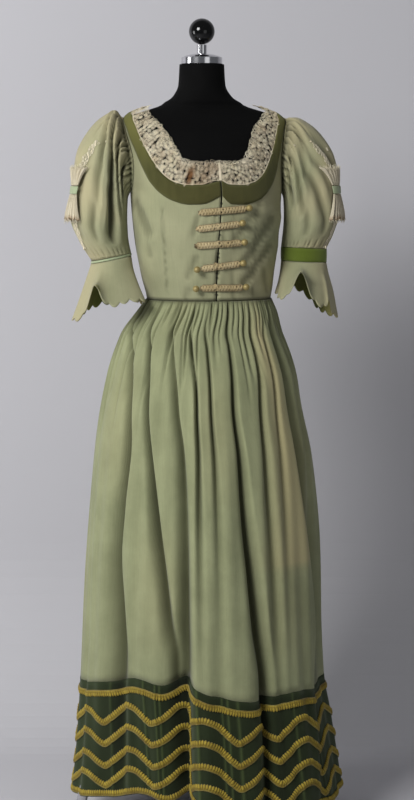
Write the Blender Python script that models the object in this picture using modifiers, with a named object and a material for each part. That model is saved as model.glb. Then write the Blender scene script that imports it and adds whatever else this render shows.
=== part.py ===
import bpy
import math
from mathutils import Vector
from mathutils.bvhtree import BVHTree

# Biedermeier ball gown on a black dress form with a chrome stand, in metres.
# Front faces -Y, +X is the viewer's right, the floor is z = 0.
GAP = 0.00035
CLOTH = 0.0012
TRIM = 0.0013
BODY_CLEAR = 0.0026
YAW = math.radians(10.0)
FORM_X = -0.011

PAINT = {
    "jersey": ((0.012, 0.012, 0.013), 0.85, 0.0),
    "chrome": ((0.80, 0.80, 0.82), 0.15, 1.0),
    "gloss": ((0.01, 0.01, 0.01), 0.08, 0.0),
    "rubber": ((0.03, 0.03, 0.03), 0.7, 0.0),
    "wool": ((0.36, 0.41, 0.26), 0.9, 0.0),
    "wool_light": ((0.42, 0.44, 0.28), 0.9, 0.0),
    "olive_velvet": ((0.16, 0.19, 0.06), 0.9, 0.0),
    "bright_velvet": ((0.09, 0.16, 0.02), 0.9, 0.0),
    "ribbon": ((0.38, 0.50, 0.40), 0.8, 0.0),
    "dark_velvet": ((0.03, 0.05, 0.025), 0.95, 0.0),
    "lace": ((0.60, 0.55, 0.42), 0.9, 0.0),
    "cord": ((0.55, 0.47, 0.35), 0.8, 0.0),
    "gilt": ((0.55, 0.45, 0.20), 0.4, 0.6),
    "braid": ((0.36, 0.29, 0.05), 0.7, 0.2),
}

# height, half_width, front_depth, back_depth, centre_x, centre_y
BODY = [
    (0.900, 0.135, 0.108, 0.110, -0.006, 0.000),
    (0.940, 0.146, 0.112, 0.120, -0.004, 0.000),
    (1.000, 0.150, 0.110, 0.124, -0.002, 0.000),
    (1.070, 0.140, 0.104, 0.112, 0.002, 0.000),
    (1.140, 0.130, 0.102, 0.100, 0.004, 0.000),
    (1.200, 0.140, 0.111, 0.104, 0.001, 0.000),
    (1.260, 0.1495, 0.123, 0.110, -0.001, 0.000),
    (1.320, 0.1555, 0.131, 0.116, -0.002, 0.000),
    (1.360, 0.158, 0.131, 0.119, -0.002, 0.001),
    (1.400, 0.160, 0.124, 0.121, -0.003, 0.003),
    (1.440, 0.163, 0.109, 0.121, -0.004, 0.006),
    (1.470, 0.167, 0.094, 0.114, -0.005, 0.010),
    (1.500, 0.171, 0.073, 0.096, -0.006, 0.012),
    (1.522, 0.172, 0.052, 0.070, -0.006, 0.014),
    (1.536, 0.160, 0.043, 0.052, -0.007, 0.014),
    (1.547, 0.128, 0.042, 0.046, -0.008, 0.013),
    (1.557, 0.096, 0.044, 0.046, -0.009, 0.012),
    (1.575, 0.064, 0.047, 0.047, -0.010, 0.010),
    (1.600, 0.0505, 0.0480, 0.0480, -0.011, 0.008),
    (1.6437, 0.0475, 0.0475, 0.0475, -0.011, 0.006),
]

# height, half_width, front_depth, back_depth, centre_x, recess of the left front
SKIRT = [
    (1.1455, 0.1358, 0.1078, 0.1056, 0.004, 0.000),
    (1.1200, 0.1510, 0.120, 0.119, 0.000, 0.000),
    (1.0670, 0.1765, 0.138, 0.143, -0.011, 0.010),
    (0.9900, 0.2030, 0.162, 0.172, -0.011, 0.020),
    (0.9100, 0.2180, 0.182, 0.192, -0.013, 0.030),
    (0.8100, 0.2350, 0.199, 0.208, -0.010, 0.045),
    (0.5900, 0.2545, 0.225, 0.235, -0.008, 0.075),
    (0.3170, 0.2680, 0.250, 0.259, -0.009, 0.120),
    (0.2350, 0.2780, 0.258, 0.267, -0.005, 0.150),
    (0.1500, 0.2880, 0.266, 0.276, -0.002, 0.185),
    (0.0650, 0.2990, 0.275, 0.285, 0.000, 0.220),
]
FINE_ROWS = 3
BAND_ROW = 7
FRONT_COLUMNS = 48
BACK_COLUMNS = 28
COLUMNS = FRONT_COLUMNS + BACK_COLUMNS

# angle at the waist, angle at the knee, angle at the hem, depth, width
FOLDS = [
    (-62.0, -58.0, -50.0, 0.016, 5.0),
    (-44.0, -36.0, -26.0, 0.012, 6.0),
    (-18.0, -10.0, -5.5, 0.030, 3.2),
    (-3.0, 0.0, 3.0, 0.009, 3.5),
    (6.0, 9.0, 12.0, 0.007, 4.0),
    (17.0, 20.0, 27.5, 0.033, 3.6),
    (33.0, 36.0, 41.0, 0.008, 5.0),
    (52.0, 58.0, 62.0, 0.014, 6.0),
    (78.0, 80.0, 82.0, 0.006, 5.0),
    (104.0, 102.0, 101.0, 0.009, 6.0),
    (119.0, 121.0, 122.0, 0.013, 6.0),
    (138.0, 139.0, 140.0, 0.009, 6.0),
    (173.0, 175.0, 177.0, 0.012, 6.0),
    (194.0, 197.0, 200.0, 0.013, 5.0),
    (214.0, 216.0, 219.0, 0.009, 6.0),
    (232.0, 236.0, 238.0, 0.013, 5.0),
    (254.0, 256.0, 258.0, 0.008, 6.0),
    (279.0, 280.0, 281.0, 0.006, 5.0),
]

# section angle, height along the neck edge and the band edge of a front
FRONT = [
    ("neck", [(3.3, 1.397), (10.0, 1.389), (20.0, 1.388), (31.0, 1.394), (41.0, 1.412),
              (48.0, 1.437), (54.0, 1.466), (59.0, 1.498), (66.0, 1.527), (90.0, 1.5450)]),
    ("band", [(3.0, 1.366), (11.0, 1.350), (21.0, 1.349), (33.0, 1.356), (45.0, 1.373),
              (55.0, 1.400), (63.0, 1.436), (68.5, 1.468), (73.0, 1.496), (80.0, 1.518), (90.0, 1.5320)]),
]
BACK = [
    ("neck", [(180.0, 1.470), (170.0, 1.470), (158.0, 1.473), (146.0, 1.479), (136.0, 1.487),
              (128.0, 1.496), (121.0, 1.506), (114.0, 1.518), (106.0, 1.531), (90.0, 1.5450)]),
    ("band", [(180.0, 1.438), (170.0, 1.438), (158.0, 1.441), (145.0, 1.447), (134.0, 1.457),
              (125.0, 1.469), (117.0, 1.482), (111.0, 1.496), (103.0, 1.514), (90.0, 1.5320)]),
]
LACE_FRONT = [(2.5, 1.431), (10.0, 1.430), (18.0, 1.431), (24.0, 1.439), (28.0, 1.456),
              (31.0, 1.478), (35.0, 1.500), (42.0, 1.519), (54.0, 1.537), (90.0, 1.5505)]
LACE_BACK = [(180.0, 1.507), (169.0, 1.507), (157.0, 1.509), (145.0, 1.513), (134.0, 1.519),
             (125.0, 1.525), (118.0, 1.531), (110.0, 1.538), (101.0, 1.545), (90.0, 1.5505)]
WAIST_Z = 1.1460
UNDERARM_Z = 1.375
ARM_TOP_Z = 1.5190
ARM_Y = {-1: -0.022, 1: 0.030}
ARM_WIDE = 17.0
NECK_COLUMNS = 20

# outer point x, z and under point x, z of each sleeve ring, half depth, gather
LEFT_SLEEVE = [
    (-0.1980, 1.5530, -0.1685, 1.3600, 0.057, 1.0),
    (-0.2310, 1.5370, -0.1695, 1.3450, 0.065, 0.8),
    (-0.2610, 1.5020, -0.1700, 1.3290, 0.069, 0.5),
    (-0.2840, 1.4490, -0.1700, 1.3130, 0.070, 0.3),
    (-0.2910, 1.3850, -0.1695, 1.2970, 0.070, 0.2),
    (-0.2905, 1.3230, -0.1685, 1.2800, 0.066, 0.3),
    (-0.2740, 1.2720, -0.1660, 1.2620, 0.057, 0.6),
    (-0.2470, 1.2270, -0.1620, 1.2440, 0.046, 0.8),
]
RIGHT_SLEEVE = [
    (0.1920, 1.5400, 0.1640, 1.3600, 0.057, 1.0),
    (0.2230, 1.5250, 0.1650, 1.3460, 0.064, 0.8),
    (0.2520, 1.4940, 0.1655, 1.3320, 0.067, 0.5),
    (0.2730, 1.4460, 0.1655, 1.3180, 0.068, 0.3),
    (0.2840, 1.3850, 0.1650, 1.3060, 0.068, 0.2),
    (0.2850, 1.3300, 0.1640, 1.2920, 0.065, 0.3),
    (0.2740, 1.2860, 0.1620, 1.2740, 0.057, 0.6),
    (0.2580, 1.2520, 0.1600, 1.2560, 0.048, 0.8),
]
SLEEVE_COLUMNS = 20
FLOUNCE_COLUMNS = 36

# outer x, outer z, under x, under z, half depth, centre_y
LEFT_CUFF = [(-0.2470, 1.2262, -0.1620, 1.2432, 0.046, 0.0), (-0.2476, 1.2215, -0.1618, 1.2385, 0.046, 0.0)]
RIGHT_CUFF = [(0.2580, 1.2512, 0.1600, 1.2552, 0.048, 0.0), (0.2580, 1.2225, 0.1600, 1.2265, 0.048, 0.0)]
LEFT_FLOUNCE = [
    (-0.2480, 1.2208, -0.1618, 1.2378, 0.047, 0.0),
    (-0.2550, 1.1950, -0.1560, 1.2120, 0.053, -0.010),
    (-0.2660, 1.1550, -0.1440, 1.1800, 0.064, -0.028),
    (-0.2790, 1.1080, -0.1300, 1.1500, 0.076, -0.054),
]
RIGHT_FLOUNCE = [
    (0.2580, 1.2218, 0.1600, 1.2258, 0.048, 0.0),
    (0.2610, 1.1990, 0.1570, 1.2080, 0.054, -0.010),
    (0.2680, 1.1650, 0.1520, 1.1860, 0.066, -0.030),
    (0.2740, 1.1160, 0.1440, 1.1640, 0.078, -0.052),
]

# height of the middle, left end x, right end x, left rise, ball on the left
FROGS = [
    (1.3360, -0.017, 0.080, -0.004, 0),
    (1.3035, -0.021, 0.066, -0.005, 0),
    (1.2660, -0.025, 0.070, -0.003, 0),
    (1.2200, -0.012, 0.067, -0.005, 1),
    (1.1740, -0.014, 0.073, 0.000, 1),
]
FROG_HIGH = 0.014
BALL_R = 0.0064

# drop below the band's top, wave height, braid height
BRAIDS = [
    ("braid_straight", 0.0240, 0.0, 0.013),
    ("braid_wave_1", 0.0730, 0.0165, 0.013),
    ("braid_wave_2", 0.1200, 0.0165, 0.013),
    ("braid_wave_3", 0.1680, 0.0165, 0.013),
    ("braid_wave_4", 0.2110, 0.0165, 0.013),
]
WAVES = 14
LEGS = (190.0, 310.0, 70.0)


def eased(keys, values, at):
    """Smooth curve through a table's column, with no overshoot."""
    if at <= keys[0]:
        return values[0]
    if at >= keys[-1]:
        return values[-1]
    i = max(k for k in range(len(keys) - 1) if keys[k] <= at)
    steps = [(values[k + 1] - values[k]) / (keys[k + 1] - keys[k]) for k in range(len(keys) - 1)]

    def slope(k):
        if k == 0:
            return steps[0]
        if k == len(keys) - 1:
            return steps[-1]
        if steps[k - 1] * steps[k] <= 0:
            return 0.0
        return 2 * steps[k - 1] * steps[k] / (steps[k - 1] + steps[k])

    h = keys[i + 1] - keys[i]
    u = (at - keys[i]) / h
    return (values[i] * (1 + 2 * u) * (1 - u) ** 2 + slope(i) * h * u * (1 - u) ** 2
            + values[i + 1] * u * u * (3 - 2 * u) + slope(i + 1) * h * u * u * (u - 1))


BODY_KEYS = [r[0] for r in BODY]
BODY_COLUMNS = [[r[k] for r in BODY] for k in range(1, 6)]


def on_body(angle, z, off=0.0):
    """Point of the form's surface at a section angle from the front and a height."""
    t = math.radians(angle)
    a, front, back, cx, cy = [eased(BODY_KEYS, c, z) for c in BODY_COLUMNS]

    def place(tt, zz):
        aa, ff, bb, xx, yy = [eased(BODY_KEYS, c, zz) for c in BODY_COLUMNS]
        depth = ff if math.cos(tt) >= 0 else bb
        lx, ly = aa * math.sin(tt), -depth * math.cos(tt)
        return Vector((xx + lx * math.cos(YAW) - ly * math.sin(YAW),
                       yy + lx * math.sin(YAW) + ly * math.cos(YAW), zz))

    p = place(t, z)
    if off == 0.0:
        return p
    e = 0.002
    around = place(t + 0.02, z) - place(t - 0.02, z)
    up = place(t, min(z + e, 1.64)) - place(t, z - e)
    n = around.cross(up).normalized()
    return p + n * off


def add_mesh(name, verts, faces, paint, smooth=True):
    mesh = bpy.data.meshes.new(name)
    mesh.from_pydata([tuple(v) for v in verts], [], faces)
    mesh.update()
    obj = bpy.data.objects.new(name, mesh)
    GOWN.objects.link(obj)
    mesh.materials.append(material(paint))
    for poly in mesh.polygons:
        poly.use_smooth = smooth
    return obj


def material(paint):
    mat = bpy.data.materials.get(paint)
    if mat is None:
        colour, rough, metal = PAINT[paint]
        mat = bpy.data.materials.new(paint)
        mat.use_nodes = True
        shader = mat.node_tree.nodes["Principled BSDF"]
        shader.inputs["Base Color"].default_value = (*colour, 1.0)
        shader.inputs["Roughness"].default_value = rough
        shader.inputs["Metallic"].default_value = metal
        mat.diffuse_color = (*colour, 1.0)
    return mat


def grid_normals(rows, closed, flip):
    """Outward normals of a grid of points, row by row."""
    out = []
    for r, row in enumerate(rows):
        line = []
        n = len(row)
        for c in range(n):
            left = row[(c - 1) % n] if closed else row[max(c - 1, 0)]
            right = row[(c + 1) % n] if closed else row[min(c + 1, n - 1)]
            share = c / (n if closed else n - 1)

            def at(other):
                m = len(other) if closed else len(other) - 1
                return other[round(share * m) % len(other)] if closed else other[round(share * m)]

            down = at(rows[max(r - 1, 0)])
            up = at(rows[min(r + 1, len(rows) - 1)])
            normal = (right - left).cross(up - down)
            if normal.length < 1e-12:
                normal = Vector((0, 0, 1))
            line.append(normal.normalized() * (-1 if flip else 1))
        out.append(line)
    return out


def strip(a, b, closed, mirror=10 ** 6):
    """Triangles between two rows of indices, where one row may have twice the points."""
    faces = []
    n, m = len(a), len(b)
    count = min(n, m) if closed else min(n, m) - 1
    for k in range(count):
        if n == m and k < mirror:
            faces += [(a[k], a[(k + 1) % n], b[(k + 1) % m]), (a[k], b[(k + 1) % m], b[k])]
        elif n == m:
            faces += [(a[k], a[(k + 1) % n], b[k]), (a[(k + 1) % n], b[(k + 1) % m], b[k])]
        elif n > m:
            lo, mid, hi = a[2 * k], a[2 * k + 1], a[(2 * k + 2) % n]
            faces += [(lo, mid, b[k]), (mid, b[(k + 1) % m], b[k]), (mid, hi, b[(k + 1) % m])]
        else:
            lo, mid, hi = b[2 * k], b[2 * k + 1], b[(2 * k + 2) % m]
            faces += [(a[k], mid, lo), (a[k], a[(k + 1) % n], mid), (a[(k + 1) % n], hi, mid)]
    return faces


def wall(name, rows, thick, paint,
         closed=False, flip=False, inside=None, normals=None, mirror=10 ** 6):
    """Closed cloth wall whose outer face runs through the rows of points."""
    normals = normals or grid_normals(rows, closed, flip)
    verts, outer, inner = [], [], []
    skin = []
    for row in rows:
        outer.append(list(range(len(verts), len(verts) + len(row))))
        verts += row
    for row, line in zip(rows, normals):
        inner.append(list(range(len(verts), len(verts) + len(row))))
        verts += [p - n * thick for p, n in zip(row, line)] if inside is None else inside[len(inner) - 1]
    faces = []
    for r in range(len(rows) - 1):
        skin += strip(outer[r], outer[r + 1], closed, mirror)
    faces += skin
    for r in range(len(rows) - 1):
        faces += [tuple(reversed(f)) for f in strip(inner[r], inner[r + 1], closed, mirror)]
    faces += [tuple(reversed(f)) for f in strip(outer[0], inner[0], closed)]
    faces += strip(outer[-1], inner[-1], closed)
    if not closed:
        for side, turned in ((0, False), (-1, True)):
            for r in range(len(rows) - 1):
                f = (outer[r][side], outer[r + 1][side], inner[r + 1][side], inner[r][side])
                faces.append(tuple(reversed(f)) if turned else f)
    if flip:
        faces = [tuple(reversed(f)) for f in faces]
        skin = [tuple(reversed(f)) for f in skin]
    add_mesh(name, verts, faces, paint)
    return verts, skin


def lofted(name, rings, paint):
    """Solid through closed rings, with a flat cap at each end."""
    verts, loops = [], []
    for ring in rings:
        loops.append(list(range(len(verts), len(verts) + len(ring))))
        verts += ring
    faces = []
    for a, b in zip(loops, loops[1:]):
        faces += strip(a, b, True)
    faces.append(tuple(reversed(loops[0])))
    faces.append(tuple(loops[-1]))
    return add_mesh(name, verts, faces, paint)


def spread(points, count):
    """Evenly spaced points along a polyline of section angle and height."""
    body = [on_body(a, z) for a, z in points]
    run = [0.0]
    for p, q in zip(body, body[1:]):
        run.append(run[-1] + (q - p).length)
    out = []
    for k in range(count):
        s = run[-1] * k / (count - 1)
        out.append((eased(run, [p[0] for p in points], s), eased(run, [p[1] for p in points], s)))
    return out


def arm_edge(turn, grow=0.0):
    """Armhole loop at a turn from its top, as section angle from the side and height."""
    t = math.radians(turn)
    middle = (ARM_TOP_Z + UNDERARM_Z) / 2
    tall = (ARM_TOP_Z - UNDERARM_Z) / 2 + grow
    return (ARM_WIDE + grow * 400) * math.sin(t), middle + tall * math.cos(t)


def panel_points(curves, start, side, facing):
    """Grid of a bodice panel: neck edge, band edge, then rows out to waist, side and armhole."""
    neck = spread(curves[0][1], NECK_COLUMNS)
    band = spread(curves[1][1], NECK_COLUMNS)
    outer = []
    waist_columns, side_columns = 7, 3
    for k in range(waist_columns):
        outer.append((start + (90.0 - start) * k / (waist_columns - 1), WAIST_Z))
    for k in range(1, side_columns + 1):
        outer.append((90.0, WAIST_Z + (UNDERARM_Z - WAIST_Z) * k / side_columns))
    left = NECK_COLUMNS - len(outer)
    for k in range(1, left + 1):
        wide, z = arm_edge(180.0 - 180.0 * k / left)
        outer.append((90.0 - facing * wide, z))
    grid = []
    seam = facing * 0.06
    for share in (0.0, 0.5, 1.0):
        grid.append([(n[0] + (b[0] - n[0]) * share, n[1] + (b[1] - n[1]) * share) for n, b in zip(neck, band)])
    for share in (0.25, 0.5, 0.75, 1.0):
        grid.append([(b[0] + (o[0] - b[0]) * share, b[1] + (o[1] - b[1]) * share) for b, o in zip(band, outer)])
    grid = [[(a - (seam if a > 89.9 and facing > 0 else seam if a < 90.1 and facing < 0 else 0), z)
             for a, z in row] for row in grid]
    return [[(side * a, z) for a, z in row] for row in grid]


def to_body(grid, off):
    return [[on_body(a, z, off) for a, z in row] for row in grid]


def closure(z):
    """Section angle of the front closing at a height."""
    return -1.2 + 4.5 * min(max((z - 1.14) / 0.22, 0.0), 1.0)


def sleeve_ring(row, count, gather=0.0, centre_y=0.0, facing=1):
    ox, oz, ux, uz, depth = row[:5]
    ring = []
    for k in range(count):
        t = 2 * math.pi * k / count
        c, s = math.cos(t), math.sin(t)
        swell = 1.0 + gather * 0.022 * (1 if k % 2 else -1) * (1.0 if c > -0.5 else 0.0)
        cx, cz = (ox + ux) / 2, (oz + uz) / 2
        ring.append(Vector((cx + (ox - cx) * c * swell, centre_y - facing * depth * s * swell,
                            cz + (oz - cz) * c * swell)))
    return ring


def flounce_rings(table, count, lift, arm_y):
    rings = []
    for k, row in enumerate(table):
        share = k / (len(table) - 1)
        ring = []
        for c, p in enumerate(sleeve_ring(row, count, 0.0, arm_y + row[5])):
            t = 2 * math.pi * c / count
            centre = Vector(((row[0] + row[2]) / 2, arm_y + row[5], (row[1] + row[3]) / 2))
            wave = 0.11 * share * math.sin(7 * t + lift) + 0.04 * share * math.sin(4 * t + 1.0)
            wave *= 1.0 - 1.6 * max(0.0, -math.cos(t)) * max(0.0, -math.sin(t))
            q = centre + (p - centre) * (1.0 + wave)
            q.z = p.z
            if k == len(table) - 1:
                q.z += (0.0035 if c % 2 else -0.0035) - 0.008 * math.sin(2 * t + lift)
            ring.append(q)
        rings.append(ring)
    return rings


def skirt_raise(angle):
    """The left front hangs higher: how much of the full rise an angle has."""
    a = (angle + 180.0) % 360.0 - 180.0
    rise = 1.0 / (1.0 + math.exp(-(a + 66.0) / 6.0))
    fall = 1.0 / (1.0 + math.exp((a + 6.5) / 1.6))
    return rise * fall


def skirt_point(angle, row):
    z, a, front, back, cx, recess = row
    t = math.radians(angle)
    turned = t - YAW * min(max((z - 0.99) / 0.14, 0.0), 1.0)
    depth = front if math.cos(turned) >= 0 else back
    radius = 1.0 / math.sqrt((math.sin(turned) / a) ** 2 + (math.cos(turned) / depth) ** 2)
    down = (SKIRT[0][0] - z) / (SKIRT[0][0] - SKIRT[-1][0])
    radius *= 1.0 - recess * skirt_raise(angle)
    for waist, knee, hem, deep, width in FOLDS:
        middle = waist + (knee - waist) * down * 2 if down < 0.5 else knee + (hem - knee) * (down - 0.5) * 2
        gap = (angle - middle + 180.0) % 360.0 - 180.0
        wide = width * (0.75 + 0.5 * down)
        grown = deep * min(1.0, down * 4.0) * (0.55 + 0.6 * down)
        radius -= grown * math.exp(-(gap / wide) ** 2)
    return radius, z, cx, t


def skirt_angles(finer):
    """Angles of the columns: closer together on the front than on the back."""
    front, back = FRONT_COLUMNS * finer, BACK_COLUMNS * finer
    return [-90.0 + 180.0 * c / front for c in range(front)] + [90.0 + 180.0 * c / back for c in range(back)]


def skirt_rows():
    """Outer points of the whole skirt and its hem band, row by row from the waist."""
    rows = []
    for k, row in enumerate(SKIRT):
        line = []
        for c, angle in enumerate(skirt_angles(2 if k < FINE_ROWS else 1)):
            radius, z, cx, t = skirt_point(angle, row)
            if k < FINE_ROWS:
                fade = (0.0018, 0.0042, 0.0040)[k]
                uneven = 0.7 + 0.3 * math.sin(angle * 0.21) * math.cos(angle * 0.083)
                radius += fade * uneven * (math.cos(math.pi * c / 2.0) - 1.0)
            share = max(0.0, (0.9 - z) / 0.9)
            lifted = z + 0.036 * skirt_raise(angle) * min(1.0, share * 1.7) if k >= 4 else z
            if k >= BAND_ROW:
                lifted += 0.004 * math.sin(math.radians(angle * 9.0))
            line.append(Vector((cx + radius * math.sin(t), -radius * math.cos(t), lifted)))
        rows.append(line)
    return rows


def halves(row):
    """Front and back stretch of a closed row that starts at the left side."""
    turn = len(row) * FRONT_COLUMNS // COLUMNS
    return row[: turn + 1], row[turn:] + row[:1]


def parted(points, gap):
    """The same stretch with its two ends drawn in by a seam gap."""
    out = list(points)
    out[0] = points[0] + (points[1] - points[0]).normalized() * gap
    out[-1] = points[-1] + (points[-2] - points[-1]).normalized() * gap
    return out


def seat(host, rows, gap, height, paint, name, rise):
    """A piece laid on a host's surface: back face just clear of it, front face raised."""
    backs, normals = [], []
    for row in rows:
        line, nline = [], []
        for p in row:
            hit, normal, index, distance = host.find_nearest(p)
            line.append(hit + normal * gap)
            nline.append(normal.copy())
        backs.append(line)
        normals.append(nline)
    for turn in range(12):
        for r in range(len(backs) - 1):
            for c in range(len(backs[0]) - 1):
                cells = [(r, c), (r, c + 1), (r + 1, c), (r + 1, c + 1)]
                worst = 0.0
                for u, v in [(i / 4, j / 4) for i in range(5) for j in range(5)]:
                    weights = ((1 - u) * (1 - v), (1 - u) * v, u * (1 - v), u * v)
                    p = Vector()
                    for w, (i, j) in zip(weights, cells):
                        p += backs[i][j] * w
                    hit, normal, index, distance = host.find_nearest(p)
                    worst = max(worst, gap * 0.9 - (p - hit).dot(normal))
                if worst > 0:
                    for i, j in cells:
                        backs[i][j] = backs[i][j] + normals[i][j] * worst
    tops = []
    for r, row in enumerate(backs):
        line = []
        for c, p in enumerate(row):
            u, v = c / (len(row) - 1), r / (len(backs) - 1)
            line.append(p + normals[r][c] * height * rise(u, v))
        tops.append(line)
    verts, top_ids, back_ids = [], [], []
    for row in tops:
        top_ids.append(list(range(len(verts), len(verts) + len(row))))
        verts += row
    for row in backs:
        back_ids.append(list(range(len(verts), len(verts) + len(row))))
        verts += row
    faces = []
    for r in range(len(rows) - 1):
        faces += strip(top_ids[r], top_ids[r + 1], False)
        faces += [tuple(reversed(f)) for f in strip(back_ids[r], back_ids[r + 1], False)]
    faces += [tuple(reversed(f)) for f in strip(top_ids[0], back_ids[0], False)]
    faces += strip(top_ids[-1], back_ids[-1], False)
    for side, turned in ((0, False), (-1, True)):
        for r in range(len(rows) - 1):
            f = (top_ids[r][side], top_ids[r + 1][side], back_ids[r + 1][side], back_ids[r][side])
            faces.append(tuple(reversed(f)) if turned else f)
    a, b, c = verts[faces[0][0]], verts[faces[0][1]], verts[faces[0][2]]
    if (b - a).cross(c - a).dot(normals[0][0]) < 0:
        faces = [tuple(reversed(f)) for f in faces]
    return add_mesh(name, verts, faces, paint)


def surface_of(*skins):
    """Search tree over the outer faces of one or more walls."""
    verts, faces = [], []
    for points, triangles in skins:
        base = len(verts)
        verts += points
        faces += [tuple(base + i for i in t) for t in triangles]
    return BVHTree.FromPolygons(verts, faces)


def primitive(name, paint):
    obj = bpy.context.active_object
    obj.name = name
    obj.data.name = name
    for owner in list(obj.users_collection):
        owner.objects.unlink(obj)
    GOWN.objects.link(obj)
    obj.data.materials.clear()
    obj.data.materials.append(material(paint))
    return obj


def ball(name, centre, radius, paint, segments=16, rings=10):
    bpy.ops.mesh.primitive_uv_sphere_add(segments=segments, ring_count=rings, radius=radius, location=centre)
    obj = primitive(name, paint)
    for poly in obj.data.polygons:
        poly.use_smooth = True
    return obj


def post(name, x, y, low, high, radius, paint, sides=20, bevel=0.0):
    bpy.ops.mesh.primitive_cylinder_add(vertices=sides, radius=radius, depth=high - low,
                                        location=(x, y, (low + high) / 2))
    obj = primitive(name, paint)
    for poly in obj.data.polygons:
        poly.use_smooth = abs(poly.normal.z) < 0.5
    if bevel:
        soft = obj.modifiers.new("edge", "BEVEL")
        soft.width = bevel
        soft.segments = 1
        soft.limit_method = "ANGLE"
    return obj


# %% Empty scene and collection
for old in list(bpy.data.objects):
    bpy.data.objects.remove(old)
GOWN = bpy.data.collections.new("biedermeier_ball_gown")
bpy.context.scene.collection.children.link(GOWN)

# %% Dress form
TORSO_HEIGHTS = (0.902, 0.906, 0.95, 1.04, 1.14, 1.20, 1.26, 1.32, 1.36, 1.40, 1.44, 1.47, 1.50,
                 1.522, 1.536, 1.547, 1.557, 1.575, 1.600, 1.643)
torso_rings = []
for k, height in enumerate(TORSO_HEIGHTS):
    ring = []
    for c in range(20):
        shy = -0.0024 if 1.46 < height < 1.56 or 1.1 < height < 1.3 else -0.0012 if height < 1.46 else 0.0
        p = on_body(360.0 * c / 20, height, shy)
        if k == 0:
            centre = Vector((FORM_X, 0.0, p.z))
            p = centre + (p - centre) * 0.96
        ring.append(p)
    torso_rings.append(ring)
torso = lofted("form_torso", torso_rings, "jersey")
NECK_Y = 0.006
post("form_neck_cap", FORM_X, NECK_Y, 1.6437, 1.6660, 0.0435, "chrome", 20, 0.004)
post("form_stem", FORM_X, NECK_Y, 1.6664, 1.6850, 0.0105, "chrome", 16)
ball("form_ball", (FORM_X, NECK_Y, 1.7128), 0.0275, "gloss", 16, 10)

# %% Stand
post("stand_pole", FORM_X, 0.0, 0.1404, 0.9014, 0.0125, "chrome", 16)
post("stand_hub", FORM_X, 0.0, 0.1000, 0.1400, 0.0300, "chrome", 16, 0.003)
for number, heading in enumerate(LEGS):
    h = math.radians(heading)
    curve = bpy.data.curves.new(f"stand_leg_{number + 1}", "CURVE")
    curve.dimensions = "3D"
    spline = curve.splines.new("BEZIER")
    # distance from the pole, height, length of the handle, handle slope
    path = [(0.0306, 0.118, 0.05, 0.0), (0.2150, 0.128, 0.045, -0.05), (0.2620, 0.070, 0.030, -6.0),
            (0.2700, 0.0218, 0.015, -6.0)]
    spline.bezier_points.add(len(path) - 1)
    for point, (reach, height, handle, slope) in zip(spline.bezier_points, path):
        run = Vector((1.0, slope)).normalized() * handle
        place = Vector((FORM_X + reach * math.cos(h), reach * math.sin(h), height))
        step = Vector((run.x * math.cos(h), run.x * math.sin(h), run.y))
        point.co = place
        point.handle_left = place - step
        point.handle_right = place + step
    curve.resolution_u = 3
    curve.render_resolution_u = 0
    curve.bevel_depth = 0.0115
    curve.bevel_resolution = 1
    curve.use_fill_caps = True
    leg = bpy.data.objects.new(curve.name, curve)
    curve.materials.append(material("chrome"))
    GOWN.objects.link(leg)
    foot_x = FORM_X + 0.2705 * math.cos(h)
    foot_y = 0.2705 * math.sin(h)
    post(f"stand_foot_{number + 1}", foot_x, foot_y, 0.0, 0.0195, 0.0145, "rubber", 16)

# %% Bodice, neck band and neck lace
panels = []
OUT = BODY_CLEAR + CLOTH
for side, word in ((-1, "left"), (1, "right")):
    front_curves = [(n, [(side * closure(z) + 0.35 if k == 0 else a, z)
                         for k, (a, z) in enumerate(points)]) for n, points in FRONT]
    front_grid = panel_points(front_curves, side * closure(WAIST_Z) + 0.35, side, 1)
    front_grid = [[(side * (side * closure(z) + 0.35), z) if c == 0 else (a, z)
                   for c, (a, z) in enumerate(row)] for row in front_grid]
    panels.append(wall(f"bodice_front_{word}", to_body(front_grid, OUT), CLOTH, "wool_light",
                       flip=side > 0, inside=to_body(front_grid, OUT - CLOTH)))
    back_grid = panel_points(BACK, 180.0, side, -1)
    back_grid = [[(a - side * 0.10, z) if c == 0 else (a, z) for c, (a, z) in enumerate(row)]
                 for row in back_grid]
    wall(f"bodice_back_{word}", to_body(back_grid, OUT), CLOTH, "wool_light",
         flip=side < 0, inside=to_body(back_grid, OUT - CLOTH))
    round_neck = [f + list(reversed(b[:-1])) for f, b in zip(front_grid[:3], back_grid[:3])]
    wall(f"neck_band_{word}", to_body(round_neck, OUT + GAP + TRIM), TRIM, "olive_velvet",
         flip=side > 0, inside=to_body(round_neck, OUT + GAP), mirror=NECK_COLUMNS - 1)
    edge = [(a, z + 0.0006) for a, z in front_grid[0][:-1]]
    far = list(reversed([(a, z + 0.0006) for a, z in back_grid[0][:-1]]))
    outline = edge + [(side * 90.0, front_grid[0][-1][1] + 0.0006)] + far
    inner_front = [(side * a, z) for a, z in spread(LACE_FRONT, NECK_COLUMNS)]
    inner_front[0] = (side * (side * closure(1.43) + 0.35), inner_front[0][1])
    inner_back = [(side * a, z) for a, z in spread(LACE_BACK, NECK_COLUMNS)]
    inner_back[0] = (inner_back[0][0] - side * 0.10, inner_back[0][1])
    inner = inner_front[:-1] + [(side * 90.0, inner_front[-1][1])] + list(reversed(inner_back[:-1]))
    lace_grid = []
    for share in (1.0, 0.5, 0.0):
        lace_grid.append([(o[0] + (i[0] - o[0]) * share, o[1] + (i[1] - o[1]) * share)
                          for o, i in zip(outline, inner)])
    wall(f"neck_lace_{word}", to_body(lace_grid, OUT), CLOTH, "lace",
         flip=side > 0, inside=to_body(lace_grid, OUT - CLOTH))

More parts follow.
